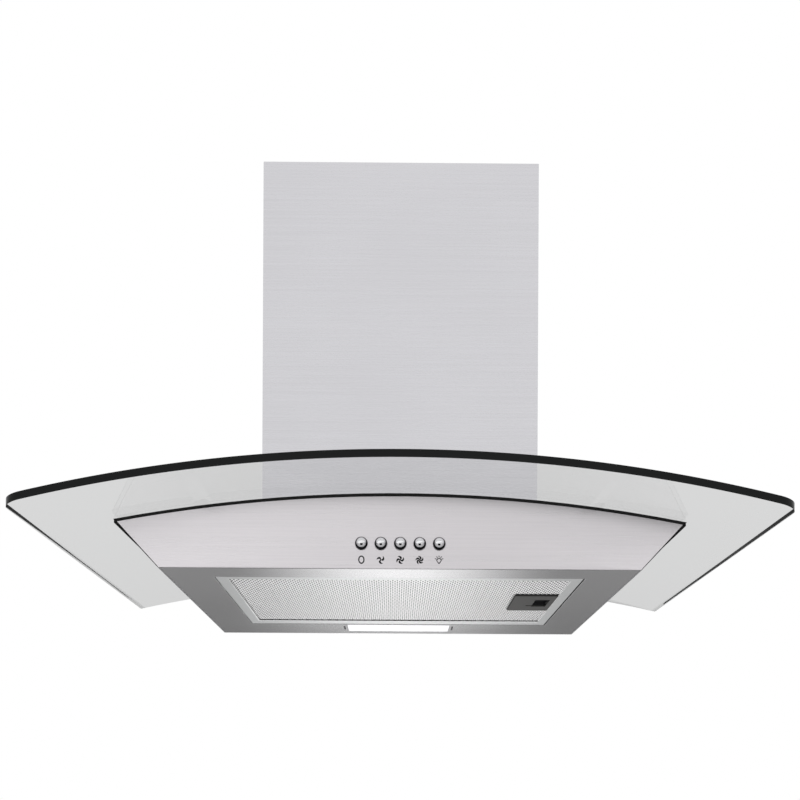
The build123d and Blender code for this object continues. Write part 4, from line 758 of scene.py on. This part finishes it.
# ---------------------------------------------------------------- studio
@dataclass
class Studio:
    """Camera, lamps, white surroundings and floor."""

    floor_level: float = -0.90
    floor_size: float = 120.0
    focal_length: float = 49.995
    sensor: float = 36.0
    camera_place: Triple = (-4.8 * MM, -1297.0 * MM, -190.7 * MM)
    camera_turn: Triple = (90.0, -0.266, -0.343)
    camera_rise: float = 0.4961  # shift of its picture, which keeps the uprights parallel
    ambient: float = 0.42
    through: float = 0.50  # how far the white seen through glass stands above the ambient
    card_size: float = 0.72
    card_place: Triple = (0.0, -1.17, -0.58)
    card_lean: float = -53.0
    # Each lamp's name, its place, the point that it faces, its width and height, and its watts
    softboxes: tuple[LampPlan, ...] = (
        ("front_softbox", (0.0, -3.2, 0.5), (0.0, 0.0, 0.1), (3.4, 2.2), 30.0),
        ("top_softbox", (0.0, -0.6, 2.3), (0.0, -0.2, 0.0), (2.4, 2.0), 12.0),
        ("under_fill", (0.0, -0.3, -0.86), (0.0, -0.25, 0.0), (2.4, 2.4), 25.0),
    )
    strip: LampPlan = ("under_strip", (0.0, 1.5, -0.62), (0.0, -0.25, 0.0), (0.9, 0.7), 2.25)

    def build(self) -> None:
        """Sets the whole studio."""
        self.set_camera()
        self.set_surroundings()
        self.lay_floor()
        self.hang_lamps()
        self.stand_card()

    def set_camera(self) -> None:
        """Level camera below the hood, its picture shifted upwards."""
        data = bpy.data.cameras.new("camera")
        data.lens = self.focal_length
        data.sensor_width = self.sensor
        data.shift_y = self.camera_rise
        data.clip_start = 0.01
        camera = Bench.stand("camera", data)
        camera.location = self.camera_place
        camera.rotation_euler = [math.radians(angle) for angle in self.camera_turn]
        bpy.context.scene.camera = camera
        bpy.context.scene.view_settings.view_transform = "Standard"

    def set_surroundings(self) -> None:
        """White for the camera and in mirror images, dimmer through glass, and dimmer still as light."""
        world = bpy.data.worlds.new("surroundings")
        world.use_nodes = True
        bpy.context.scene.world = world
        painter = Painter(world.node_tree)
        direct, mirrored, past = painter.rays()
        seen = direct.above(mirrored).above(past * self.through)
        strength = seen.between(self.ambient, 1.0)
        sky = painter.node("ShaderNodeBackground", inputs={"Color": WHITE, "Strength": strength})
        painter.node("ShaderNodeOutputWorld", inputs={"Surface": sky.outputs[0]})

    def lay_floor(self) -> None:
        """Broad flat pale floor."""
        floor = Bench.add("studio_floor", "plane", size=self.floor_size, location=(0, 0, self.floor_level))
        with Bench.at_work(floor):
            bpy.ops.mesh.subdivide(number_cuts=7)
        dress(floor, FLOOR)

    def hang_lamps(self) -> None:
        """Large soft lamps in front, above and below, and a strip behind that shows in the underside."""
        for plan in self.softboxes:
            self.lamp(*plan).visible_glossy = False
        self.fade(self.lamp(*self.strip))

    def lamp(self, name: str, place: Triple, target: Triple, size: Pair, watts: float) -> Piece:
        """Hangs one rectangular lamp, hidden from the camera and from what is seen through glass.

        Args:
            name: The lamp's name.
            place: Where it hangs.
            target: The point that it faces.
            size: Its width and height.
            watts: Its power.

        Returns:
            The lamp.
        """
        data = bpy.data.lights.new(name, "AREA")
        data.shape = "RECTANGLE"
        data.size, data.size_y = size
        data.energy = watts
        lamp = Bench.stand(name, data)
        lamp.location = place
        lamp.rotation_euler = (Vector(target) - Vector(place)).to_track_quat("-Z", "Y").to_euler()
        lamp.visible_camera = lamp.visible_transmission = False
        return lamp

    def fade(self, lamp: Piece) -> None:
        """Lets a lamp fade softly to its left and right ends, as a diffuser does."""
        lamp.data.use_nodes = True
        painter = Painter(lamp.data.node_tree)
        spot = painter.node("ShaderNodeNewGeometry").outputs["Parametric"]
        across = Signal(painter, painter.node("ShaderNodeSeparateXYZ", inputs={0: spot}).outputs[0])
        hump = painter.maths("SINE", across * math.pi)
        painter.node("ShaderNodeOutputLight", inputs={"Surface": painter.glow(hump * hump)})

    def stand_card(self) -> None:
        """Stands a dark card below the camera, seen only by what mirrors it."""
        lean = (math.radians(self.card_lean), 0, 0)
        card = Bench.add("dark_card", "plane", size=self.card_size, location=self.card_place, rotation=lean)
        with Bench.at_work(card):
            bpy.ops.mesh.subdivide(number_cuts=2)
        card.visible_camera = card.visible_diffuse = card.visible_shadow = card.visible_transmission = False
        dress(card, CARD)


# ---------------------------------------------------------------- glass canopy
@dataclass
class GlassCanopy:
    """Arched sheet of toughened glass with the caps of its screws."""

    width: float = 600.0 * MM
    side: float = 464.2 * MM
    bow: float = 12.4 * MM
    thickness: float = 6.0 * MM
    axis: float = -1315.77 * MM
    corner: float = 16.0 * MM
    corner_steps: int = 14
    bow_steps: int = 40
    notch_half: float = 118.0 * MM
    notch_depth: float = 236.0 * MM
    hole: float = 5.6 * MM
    hole_steps: int = 32
    edge: float = 0.8 * MM
    slice: float = 6.0 * MM
    edge_turn: float = 0.12  # how far a face of the dark edge turns to the front, at least
    edge_rise: float = 0.97  # and how far it may turn up or down
    # Radius and height in millimetres of each ring of a cap, and how far its foot stands off the glass
    cap: tuple[Pair, ...] = (
        (8.6, 0), (9.0, 0.4), (9.0, 2.0), (8.8, 2.7), (8.2, 3.3), (7.0, 3.7), (4.5, 3.95), (0.4, 4.0),
    )
    cap_foot: float = 1.5 * MM
    screws: tuple[tuple[float, float], ...] = (
        (-165 * MM, -48 * MM),
        (165 * MM, -48 * MM),
        (-165 * MM, -318 * MM),
        (165 * MM, -318 * MM),
    )

    def build(self) -> None:
        """Makes the glass and its caps."""
        self.make_glass()
        self.make_caps()

    def level(self, depth: float, x: float) -> float:
        """Height of the glass at x, this far above its underside along the radius."""
        return self.axis + math.sqrt((ARCH_RADIUS + depth) ** 2 - x**2)

    def outline(self) -> list[tuple[float, float]]:
        """Plan outline: bowed front, rounded front corners and the notch for the blower housing."""
        half = self.width / 2
        bow_radius = (half**2 + self.bow**2) / (2 * self.bow)
        bow_middle = bow_radius - self.side - self.bow
        turn_x = half - self.corner
        reach = bow_radius - self.corner
        turn_y = bow_middle - math.sqrt(reach**2 - turn_x**2)
        end = math.asin(turn_x / reach)
        right = [(half, 0.0)]
        for i in range(self.corner_steps):
            angle = (math.pi / 2 - end) * i / self.corner_steps
            right.append((turn_x + self.corner * math.cos(angle), turn_y - self.corner * math.sin(angle)))
        for i in range(self.bow_steps):
            angle = end * (1 - i / self.bow_steps)
            right.append((bow_radius * math.sin(angle), bow_middle - bow_radius * math.cos(angle)))
        tip = [(0.0, -self.side - self.bow)]
        left = [(-x, y) for x, y in reversed(right)]
        notch = [
            (-self.notch_half, 0.0),
            (-self.notch_half, -self.notch_depth),
            (self.notch_half, -self.notch_depth),
            (self.notch_half, 0.0),
        ]
        return right + tip + left + notch

    def make_glass(self) -> None:
        """Draws the outline flat, thickens and bevels it, slices it and lays it on its arch."""
        curve = bpy.data.curves.new("canopy_outline", "CURVE")
        curve.dimensions = "2D"
        curve.fill_mode = "BOTH"
        rings = [self.outline()]
        turns = [2 * math.pi * i / self.hole_steps for i in range(self.hole_steps)]
        for x, y in self.screws:
            rings.append([(x + self.hole * math.cos(a), y + self.hole * math.sin(a)) for a in turns])
        for ring in rings:
            spline = curve.splines.new("POLY")
            spline.points.add(len(ring) - 1)
            for point, (x, y) in zip(spline.points, ring):
                point.co = (x, y, 0.0, 1.0)
            spline.use_cyclic_u = True
        glass = Bench.stand("canopy_glass", curve)
        Bench.grip(glass)
        bpy.ops.object.convert(target="MESH")
        glass = bpy.context.active_object
        glass.name = glass.data.name = "canopy_glass"
        with Bench.at_work(glass):
            bpy.ops.mesh.remove_doubles(threshold=WELD)
            bpy.ops.mesh.dissolve_limited(angle_limit=math.radians(0.02))
            bpy.ops.mesh.select_all(action="SELECT")
            Bench.extrude(self.thickness)
            Bench.close_up()
        Bench.bevel(glass, self.edge, 3)
        with Bench.at_work(glass):
            for i in range(1, int(self.width / self.slice)):
                bpy.ops.mesh.select_all(action="SELECT")
                bpy.ops.mesh.bisect(plane_co=(-self.width / 2 + i * self.slice, 0, 0), plane_no=(1, 0, 0))
        dress(glass, GLASS, GLASS_EDGE)
        # Faces of the front edge take the near-black painted shade
        front = -self.side + self.corner
        for face in glass.data.polygons:
            turned = face.normal.y < -self.edge_turn and abs(face.normal.z) < self.edge_rise
            face.material_index = int(turned and face.center.y < front)
        for vertex in glass.data.vertices:
            vertex.co.z = self.level(vertex.co.z, vertex.co.x)
        Bench.smooth(glass, 30)
        settle(glass, "hood", "glass", "glass_canopy")

    def make_caps(self) -> None:
        """Turned chrome caps over the screws that hold the glass."""
        low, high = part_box("glass_screws")
        pattern = Bench.turned("cap_pattern", self.cap)
        top = ARCH_RADIUS + self.thickness
        caps = []
        for x, y in self.screws:
            normal = Vector((x, 0, math.sqrt(top**2 - x**2))) / top
            seat = Vector((x, y, self.axis + normal.z * top)) + normal * self.cap_foot
            caps.append(Bench.copy(pattern, "cap", placed(seat, normal)))
        caps = Bench.joined("glass_caps", caps)
        Bench.drop(pattern)
        dress(caps, CHROME)
        settle(caps, "hood", "chrome", "glass_screws")
        log.info("screw caps between %.4f and %.4f", low.z, high.z)


# ---------------------------------------------------------------- control panel
@dataclass
class ControlPanel:
    """Five chrome buttons on the fascia, with their printed symbols."""

    pitch: float = 16.2 * MM
    height: float = 20.2 * MM
    symbol_height: float = 7.0 * MM
    tilt: float = math.atan(math.tan(math.radians(4.0)) + 5.4 / 57.8)  # of the face from the upright
    foot: float = 369.0 * MM  # fascia's face from the wall, level with the underside
    lift: float = 0.62 * MM  # of each crown above the middle of its collar
    lifted_from: float = 1.0 * MM  # above the fascia's face
    buttons: tuple[str, ...] = ("button_off", "button_low", "button_medium", "button_high", "button_lamp")
    sides: int = 64
    # Outlines of what is turned: radius, and height above the fascia's face, in millimetres
    stem: tuple[Pair, ...] = ((3.0, -17.0), (3.0, -8.0), (5.02, -8.0), (5.02, 0.9), (4.2, 1.35))
    crown: tuple[Pair, ...] = (
        (4.2, 2.1), (4.12, 2.7), (3.9, 3.35), (3.5, 3.95), (2.9, 4.5), (2.15, 4.88), (1.3, 5.11),
        (0.6, 5.19), (0.15, 5.2),
    )
    collar: tuple[Pair, ...] = (
        (3.7, 0.95), (5.02, 0.95), (5.15, 1.1), (5.15, 1.7), (5.04, 2.1), (4.75, 2.45), (4.4, 2.6),
        (3.9, 2.65), (3.7, 2.5),
    )
    bezel: tuple[Pair, ...] = (
        (5.2, -0.9), (5.75, -0.9), (5.75, 0.02), (5.55, 0.10), (5.32, 0.08), (5.2, -0.05), (5.2, -0.9),
    )
    # Symbols
    ink_depth: float = 0.05 * MM
    clearance: float = 0.02 * MM  # of the ink above the face
    blade_length: float = 3.0 * MM
    blade_start: float = 0.45 * MM
    blade_sweep: float = 66.0
    blade_spread: Pair = (0.45, 0.80)  # share of its width at the hub, and what it gains to the tip
    hub: float = 0.62 * MM
    fans: tuple[tuple[int, float, float], ...] = (
        (3, 2.4 * MM, -12.0),
        (4, 2.35 * MM, -32.0),
        (5, 2.1 * MM, -28.0),
    )  # blades, width of each, and turn in degrees
    zero_size: Triple = (5.3 * MM, 6.8 * MM, 1.0 * MM)  # width, height and line
    bulb_size: Triple = (4.5 * MM, 4.0 * MM, 0.78 * MM)
    bulb_foot: float = 1.95 * MM  # of its lower half, before this is drawn down
    bulb_waist: float = 0.62
    bulb_stretch: float = 1.45
    bulb_drop: float = 0.3 * MM
    ray_angles: tuple[int, ...] = (22, 56, 90, 124, 158)
    ray_size: Pair = (1.4 * MM, 0.66 * MM)
    ray_reach: float = 3.05 * MM
    ray_drop: float = 0.1 * MM

    def build(self) -> None:
        """Makes the buttons and the symbols."""
        self.make_buttons()
        self.make_bezels()
        self.print_symbols()

    def spot(self, column: int, height: float) -> Matrix:
        """Place on the fascia's face, its z axis out of the face.

        Args:
            column: Which button, 0 to 4.
            height: Height of the place.

        Returns:
            The place as a matrix.
        """
        normal = (0.0, -math.cos(self.tilt), -math.sin(self.tilt))
        return placed(((column - 2) * self.pitch, -self.foot - height * math.tan(self.tilt), height), normal)

    def make_buttons(self) -> None:
        """Turns one domed cap and its black collar, and copies them onto the five bodies."""
        dome = Bench.turned("dome_pattern", (*self.stem, *self.crown), self.sides)
        for vertex in dome.data.vertices:
            if vertex.co.z > self.lifted_from:
                vertex.co.y += self.lift
        collar = Bench.turned("collar_pattern", self.collar, self.sides)
        dress(dome, BUTTON_CHROME)
        dress(collar, GLOSS_BLACK)
        for column, name in enumerate(self.buttons):
            place = self.spot(column, self.height)
            pieces = [Bench.copy(dome, f"{name}_cap", place), Bench.copy(collar, f"{name}_collar", place)]
            button = Bench.joined(f"{name}_cap", pieces)
            settle(button, name, "chrome", name)
        Bench.drop(dome, collar)

    def make_bezels(self) -> None:
        """Turns the rolled rim of one button hole and lays it round the five."""
        pattern = Bench.turned("bezel_pattern", self.bezel, self.sides, hollow=True, angle=50)
        places = [self.spot(column, self.height) for column in range(len(self.buttons))]
        bezels = Bench.joined("button_bezels", [Bench.copy(pattern, "bezel", place) for place in places])
        Bench.drop(pattern)
        dress(bezels, FASCIA_STEEL)
        settle(bezels, "hood", "brushed_steel")

    def print_symbols(self) -> None:
        """Prints the symbols as thin ink on the fascia."""
        symbols = [self.zero(), *(self.fan(*plan) for plan in self.fans), self.bulb()]
        for column, symbol in enumerate(symbols):
            place = self.spot(column, self.symbol_height) @ Matrix.Translation((0, 0, self.clearance))
            symbol.data.transform(place)
        ink = Bench.joined("button_symbols", symbols)
        dress(ink, INK)
        settle(ink, "hood", "black_plastic")

    def thick(self, piece: Piece) -> Piece:
        """Gives a flat symbol the thickness of its ink."""
        Bench.fit(piece, "SOLIDIFY", thickness=self.ink_depth, offset=1.0)
        return piece

    def ring(self, name: str, wide: float, high: float, line: float, sides: int = 48) -> Piece:
        """Flat oval ring.

        Args:
            name: The piece's name.
            wide: Its outer width.
            high: Its outer height.
            line: Width of its line.
            sides: Corners round it.

        Returns:
            The ring, flat on the xy plane.
        """
        piece = Bench.add(name, "circle", vertices=sides, radius=0.5, fill_type="NGON")
        with Bench.at_work(piece):
            Bench.resize(wide, high, 1.0, (0, 0, 0))
            bpy.ops.mesh.inset(thickness=line)
            bpy.ops.mesh.delete(type="FACE")
        return piece

    def zero(self) -> Piece:
        """The off symbol."""
        return self.thick(self.ring("zero", *self.zero_size))

    def fan(self, blades: int, wide: float, turn: float) -> Piece:
        """Fan symbol with swept blades, each wide and hooked at its tip.

        Args:
            blades: How many blades.
            wide: Width of each before it is swept.
            turn: Where the first one points, in degrees from the right.

        Returns:
            The symbol.
        """
        start, gain = self.blade_spread
        blade = Bench.add("blade", "circle", vertices=28, radius=0.5, fill_type="NGON")
        with Bench.at_work(blade):
            Bench.resize(self.blade_length, wide, 1.0, (0, 0, 0))
            bpy.ops.transform.translate(value=(self.blade_length / 2 + self.blade_start, 0, 0))
        for vertex in blade.data.vertices:
            reach = vertex.co.x / (self.blade_length + self.blade_start)
            sweep = math.radians(self.blade_sweep) * reach**1.8
            x, y = vertex.co.x, vertex.co.y * (start + gain * reach)
            vertex.co.x = x * math.cos(sweep) - y * math.sin(sweep)
            vertex.co.y = x * math.sin(sweep) + y * math.cos(sweep)
        hub = Bench.add("hub", "circle", vertices=20, radius=self.hub, fill_type="NGON")
        first, step = math.radians(turn), 2 * math.pi / blades
        spots = [Matrix.Rotation(first + step * i, 4, "Z") for i in range(blades)]
        arms = [Bench.copy(blade, "arm", spot) for spot in spots]
        Bench.drop(blade)
        return self.thick(Bench.joined(f"fan_{blades}", [hub, *arms]))

    def bulb(self) -> Piece:
        """Lamp symbol: bulb drawn down to a point, with five rays above it."""
        outline = self.ring("bulb", *self.bulb_size, 40)
        for vertex in outline.data.vertices:
            if vertex.co.y < 0:
                fall = min(-vertex.co.y / self.bulb_foot, 1.0)
                vertex.co.x *= 1 - self.bulb_waist * fall
                vertex.co.y *= self.bulb_stretch
            vertex.co.y -= self.bulb_drop
        rays = []
        for angle in self.ray_angles:
            ray = Bench.add("ray", "plane", size=1.0)
            with Bench.at_work(ray):
                Bench.resize(*self.ray_size, 1.0, (0, 0, 0))
                bpy.ops.transform.translate(value=(self.ray_reach, 0, 0))
            turn = Matrix.Rotation(math.radians(angle), 4, "Z")
            ray.data.transform(Matrix.Translation((0, -self.ray_drop, 0)) @ turn)
            rays.append(ray)
        return self.thick(Bench.joined("bulb", [outline, *rays]))


# ---------------------------------------------------------------- grease filter
@dataclass
class GreaseFilter:
    """Aluminium filter cassette with its expanded mesh and its latch."""

    half_width: float = 152.5 * MM
    front: float = 318.5 * MM
    rear: float = 94.0 * MM
    level: float = 1.5 * MM
    long_way: float = 8.3 * MM  # of a diamond, from front to rear
    short_way: float = 4.15 * MM
    opening: Pair = (2.05 * MM, 6.8 * MM)
    inset: float = 0.5 * MM
    regain: float = 1.35  # what the inset has taken from the opening
    gauge: float = 0.2 * MM
    window: tuple[float, float, float, float] = (-151.0 * MM, 151.0 * MM, -317.2 * MM, -87.8 * MM)
    rim: float = 0.3 * MM
    hem: float = 0.75 * MM
    # below which the hems' slanted faces take the painted highlight
    highlight_top: float = 1.2 * MM
    # how near the window's rear edge the front-facing faces take the painted highlight
    rear_highlight: float = 0.4 * MM
    side: float = 160.5 * MM
    lip: float = 0.6 * MM
    lip_top: float = 1.3 * MM
    fold: float = 0.15 * MM
    soft_edge: float = 0.3 * MM
    pan: tuple[float, float, float, float] = (109 * MM, 151 * MM, -250 * MM, -162.5 * MM)
    pan_trim: float = 1.3 * MM
    pan_margin: float = 3.0 * MM
    # thin dark plate at the pan's front, a painted shadow: its depth, thickness and height
    shadow_plate_depth: float = 9.0 * MM
    shadow_plate_sheet: float = 0.5 * MM
    shadow_plate_level: float = 2.3 * MM

    def build(self) -> None:
        """Makes the frame, the mesh and the latch pan."""
        self.make_frame()
        self.make_mesh()
        self.make_pan()

    def make_frame(self) -> None:
        """Opens the hems at the left and right of the frame's window, rounds its folds, and gives the hems'
        slanted faces and the window's rear edge a painted highlight.
        """
        piece = merged("filter_frame")
        left, right, near, far = self.window

        def on_hem(middle: Vector, direction: Vector) -> bool:
            """Whether an edge is a lower left or right edge of the window."""
            beside = min(abs(middle.x - left), abs(middle.x - right)) < TOUCH and near < middle.y < far
            return beside and middle.z < self.rim + TOUCH and abs(direction.y) > 0.9

        with Bench.at_work(piece, "EDGE", whole=False):
            Bench.pick_edges(piece, on_hem)
            bpy.ops.mesh.bevel(offset=self.hem, segments=3, clamp_overlap=False)
        for vertex in piece.data.vertices:
            if vertex.co.x < -self.side + TOUCH and vertex.co.z < self.lip_top:
                vertex.co.x -= self.lip
        rounded(piece, self.fold, 1)
        dress(piece, ALUMINIUM, HEM_HIGHLIGHT)
        # paler faces: painted highlight on the hems and on the window's rear edge
        for face in piece.data.polygons:
            inside = left - TOUCH - self.hem < face.center.x < right + TOUCH + self.hem
            slanted = abs(face.normal.x) > 0.25 and face.normal.z < -0.1
            behind = abs(face.center.y - far) < self.rear_highlight and face.normal.y < -0.5
            face.material_index = int(inside and slanted and face.center.z < self.highlight_top or behind)
        settle(piece, "filter", "filter_aluminium", "filter_frame")

    def make_mesh(self) -> None:
        """Models one diamond of the expanded sheet, then repeats it over the filter's window."""
        half_x, half_y = self.short_way / 2, self.long_way / 2
        cell = Bench.add("diamond", "circle", vertices=4, radius=0.5, fill_type="NGON")
        ways = (self.short_way, self.long_way)
        shrunk = [size / way * self.regain for size, way in zip(self.opening, ways)]
        with Bench.at_work(cell):
            Bench.resize(self.short_way, self.long_way, 1.0, (0, 0, 0))
            bpy.ops.mesh.inset(thickness=self.inset)
            Bench.resize(*shrunk, 1.0, (0, 0, 0))
            bpy.ops.mesh.delete(type="FACE")
        columns = int(2 * self.half_width / self.short_way)
        rows = int((self.front - self.rear) / self.long_way)
        slack_x = self.half_width - columns * half_x
        slack_y = (self.front - self.rear - rows * self.long_way) / 2
        corner = (-self.half_width + slack_x + half_x, -self.front + slack_y + half_y, self.level)
        cell.data.transform(Matrix.Translation(corner))
        twin = Bench.copy(cell, "diamond_between", Matrix.Translation((half_x, half_y, 0)))
        cell = Bench.joined("lower_expanded_mesh", [cell, twin])
        for count, step in ((columns, (self.short_way, 0, 0)), (rows, (0, self.long_way, 0))):
            Bench.fit(
                cell,
                "ARRAY",
                count=count,
                use_relative_offset=False,
                use_constant_offset=True,
                constant_offset_displace=step,
            )
        left, right, near, far = self.pan
        with Bench.at_work(cell, whole=False):
            Bench.pick_faces(cell, lambda c, n: left < c.x < right + self.pan_margin and near < c.y < far)
            bpy.ops.mesh.delete(type="FACE")
            bpy.ops.mesh.select_all(action="SELECT")
            bpy.ops.mesh.remove_doubles(threshold=1e-5)
        Bench.fit(cell, "SOLIDIFY", thickness=self.gauge, offset=0.0)
        dress(cell, MESH_ALUMINIUM)
        settle(cell, "filter", "filter_aluminium", "filter_mesh_lower")

    def make_pan(self) -> None:
        """Rounds the moulded latch pan and its slider, and adds a thin dark plate at the pan's front: painted
        shadow where the pan's front wall lies in shade.
        """
        left, right, near, _ = self.pan
        middle = ((left + right) / 2, near + self.shadow_plate_depth / 2, self.shadow_plate_level)
        # painted shadow: a thin near-black plate where the pan's front wall lies in shade
        shadow_plate = Bench.add("shadow_plate", "cube", size=1.0, location=middle)
        with Bench.at_work(shadow_plate):
            Bench.resize(right - left, self.shadow_plate_depth, self.shadow_plate_sheet, middle)
        dress(shadow_plate, DEEP_BLACK)
        pan = merged("latch_pan")
        for vertex in pan.data.vertices:
            if vertex.co.x < left + 0.5 * MM:
                vertex.co.x += self.pan_trim
        rounded(pan, self.soft_edge)
        dress(pan, LATCH_PLASTIC)
        pan = Bench.joined("latch_pan_rounded", [pan, shadow_plate])
        settle(pan, "filter", "black_plastic", "latch_pan")
        slider = rounded(merged("filter_latch"), self.soft_edge)
        dress(slider, DEEP_BLACK)
        settle(slider, "latch", "black_plastic", "filter_latch")


# ---------------------------------------------------------------- sheet metal
@dataclass
class SheetMetal:
    """Folded sheets that the cook sees, with the small radius of their folds."""

    folds: tuple[tuple[str, str, float, Finish], ...] = (
        ("fascia", "hood", 0.15 * MM, FASCIA_STEEL),
        ("underside_panel", "hood", 0.25 * MM, UNDERSIDE_SHADED_STEEL),
        ("side_panel_left", "hood", 0.25 * MM, LEVEL_STEEL),
        ("side_panel_right", "hood", 0.25 * MM, LEVEL_STEEL),
        ("lower_chimney", "hood", 0.4 * MM, LEVEL_STEEL),
        ("upper_chimney", "upper_chimney", 0.3 * MM, LEVEL_STEEL),
    )  # node, body, radius and finish
    lower_fold: float = 0.9 * MM  # of the fascia
    seam_foot: Triple = (202.4 * MM, -369.0 * MM, 0.3 * MM)
    seam_head: Triple = (237.4 * MM, -371.7 * MM, 37.6 * MM)
    seam_widths: Pair = (0.6 * MM, 1.5 * MM)
    seam_stand: float = 0.05 * MM  # before the foot and the head
    seam_gauge: float = 0.08 * MM

    def build(self) -> None:
        """Rounds each sheet's edges and folds, and brushes it."""
        for node, body, radius, finish in self.folds:
            piece = merged(node)
            if node == "fascia":
                self.fold_foot(piece)
            rounded(piece, radius, 3)
            dress(piece, finish)
            settle(piece, body, "brushed_steel", node)
        self.lay_dark_strips()

    def fold_foot(self, fascia: Piece) -> None:
        """Rounds the fascia's lower outer edge more than the rest."""
        low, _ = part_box("fascia")
        front = self.seam_foot[1]
        with Bench.at_work(fascia, "EDGE", whole=False):
            Bench.pick_edges(
                fascia, lambda m, d: m.z < low.z + TOUCH / 2 and m.y < front + TOUCH and abs(d.x) > 0.9
            )
            bpy.ops.mesh.bevel(offset=self.lower_fold, segments=4, clamp_overlap=False)

    def lay_dark_strips(self) -> None:
        """Lays thin dark strips, widening upwards, just in front of the edges where the fascia meets the side
        panels.
        """
        foot, head = Vector(self.seam_foot), Vector(self.seam_head)
        seams = []
        for side in (-1, 1):
            seam = Bench.add("seam", "plane", size=1.0)
            with Bench.at_work(seam):
                bpy.ops.mesh.subdivide(number_cuts=3)
            for vertex in seam.data.vertices:
                along, across = vertex.co.y + 0.5, vertex.co.x + 0.5
                spot = foot.lerp(head, along)
                width = self.seam_widths[0] * (1 - along) + self.seam_widths[1] * along
                vertex.co = (side * (spot.x - across * width), spot.y - self.seam_stand, spot.z)
            Bench.fit(seam, "SOLIDIFY", thickness=self.seam_gauge, offset=0.0)
            seams.append(seam)
        seams = Bench.joined("side_dark_strips", seams)
        with Bench.at_work(seams):
            Bench.close_up()
        dress(seams, RUBBER)
        settle(seams, "hood", "rubber")


# ---------------------------------------------------------------- remaining solids
@dataclass
class SolidPieces:
    """The pieces whose solids already have their shape: each gets its finish."""

    def build(self) -> None:
        """Dresses every solid that keeps its shape."""
        finishes = {
            LEVEL_STEEL: "rear_panel",
            ZINC: """
                top_plate motor_housing hook_plate chimney_stay_left chimney_stay_right chimney_wall_bracket
                switch_shelf motor_bracket capacitor_clip flap_pins
            """,
            RUBBER: "glass_gasket glass_grommets",
            SCREW_ZINC: """
                housing_screws scroll_screws bracket_screws motor_screws guard_screws collar_screws
                chimney_screws upper_screws switch_screws motor_shaft
            """,
            BLACK_PLASTIC: """
                scroll_half_left scroll_half_right inlet_guard duct_collar flap_front flap_rear wiring_box
                wiring_lid cable_gland gland_nut switch_bank lamp_catches
            """,
            GREY_PLASTIC: "impeller capacitor",
            MOTOR_BLACK: "motor",
            WHITE_COAT: "lamp_housing",
            BOARD: "led_board",
            LENS: "lamp_lens",
            # darkened: painted shade inside the filter
            CORE_SHADED_ALUMINIUM: "filter_core",
            MESH_ALUMINIUM: "filter_mesh_upper",
        }
        for finish, names in finishes.items():
            for name in names.split():
                dress(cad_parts[name], finish)
            log.info("%s: %s", finish.name, ", ".join(names.split()))


def main() -> None:
    """Builds the studio and every sub-assembly."""
    logging.basicConfig(level=logging.INFO, format="%(message)s")
    for part in (Studio(), SolidPieces(), SheetMetal(), GlassCanopy(), ControlPanel(), GreaseFilter()):
        log.info("building %s", type(part).__name__)
        part.build()
    bpy.context.view_layer.update()


if __name__ == "__main__":
    main()
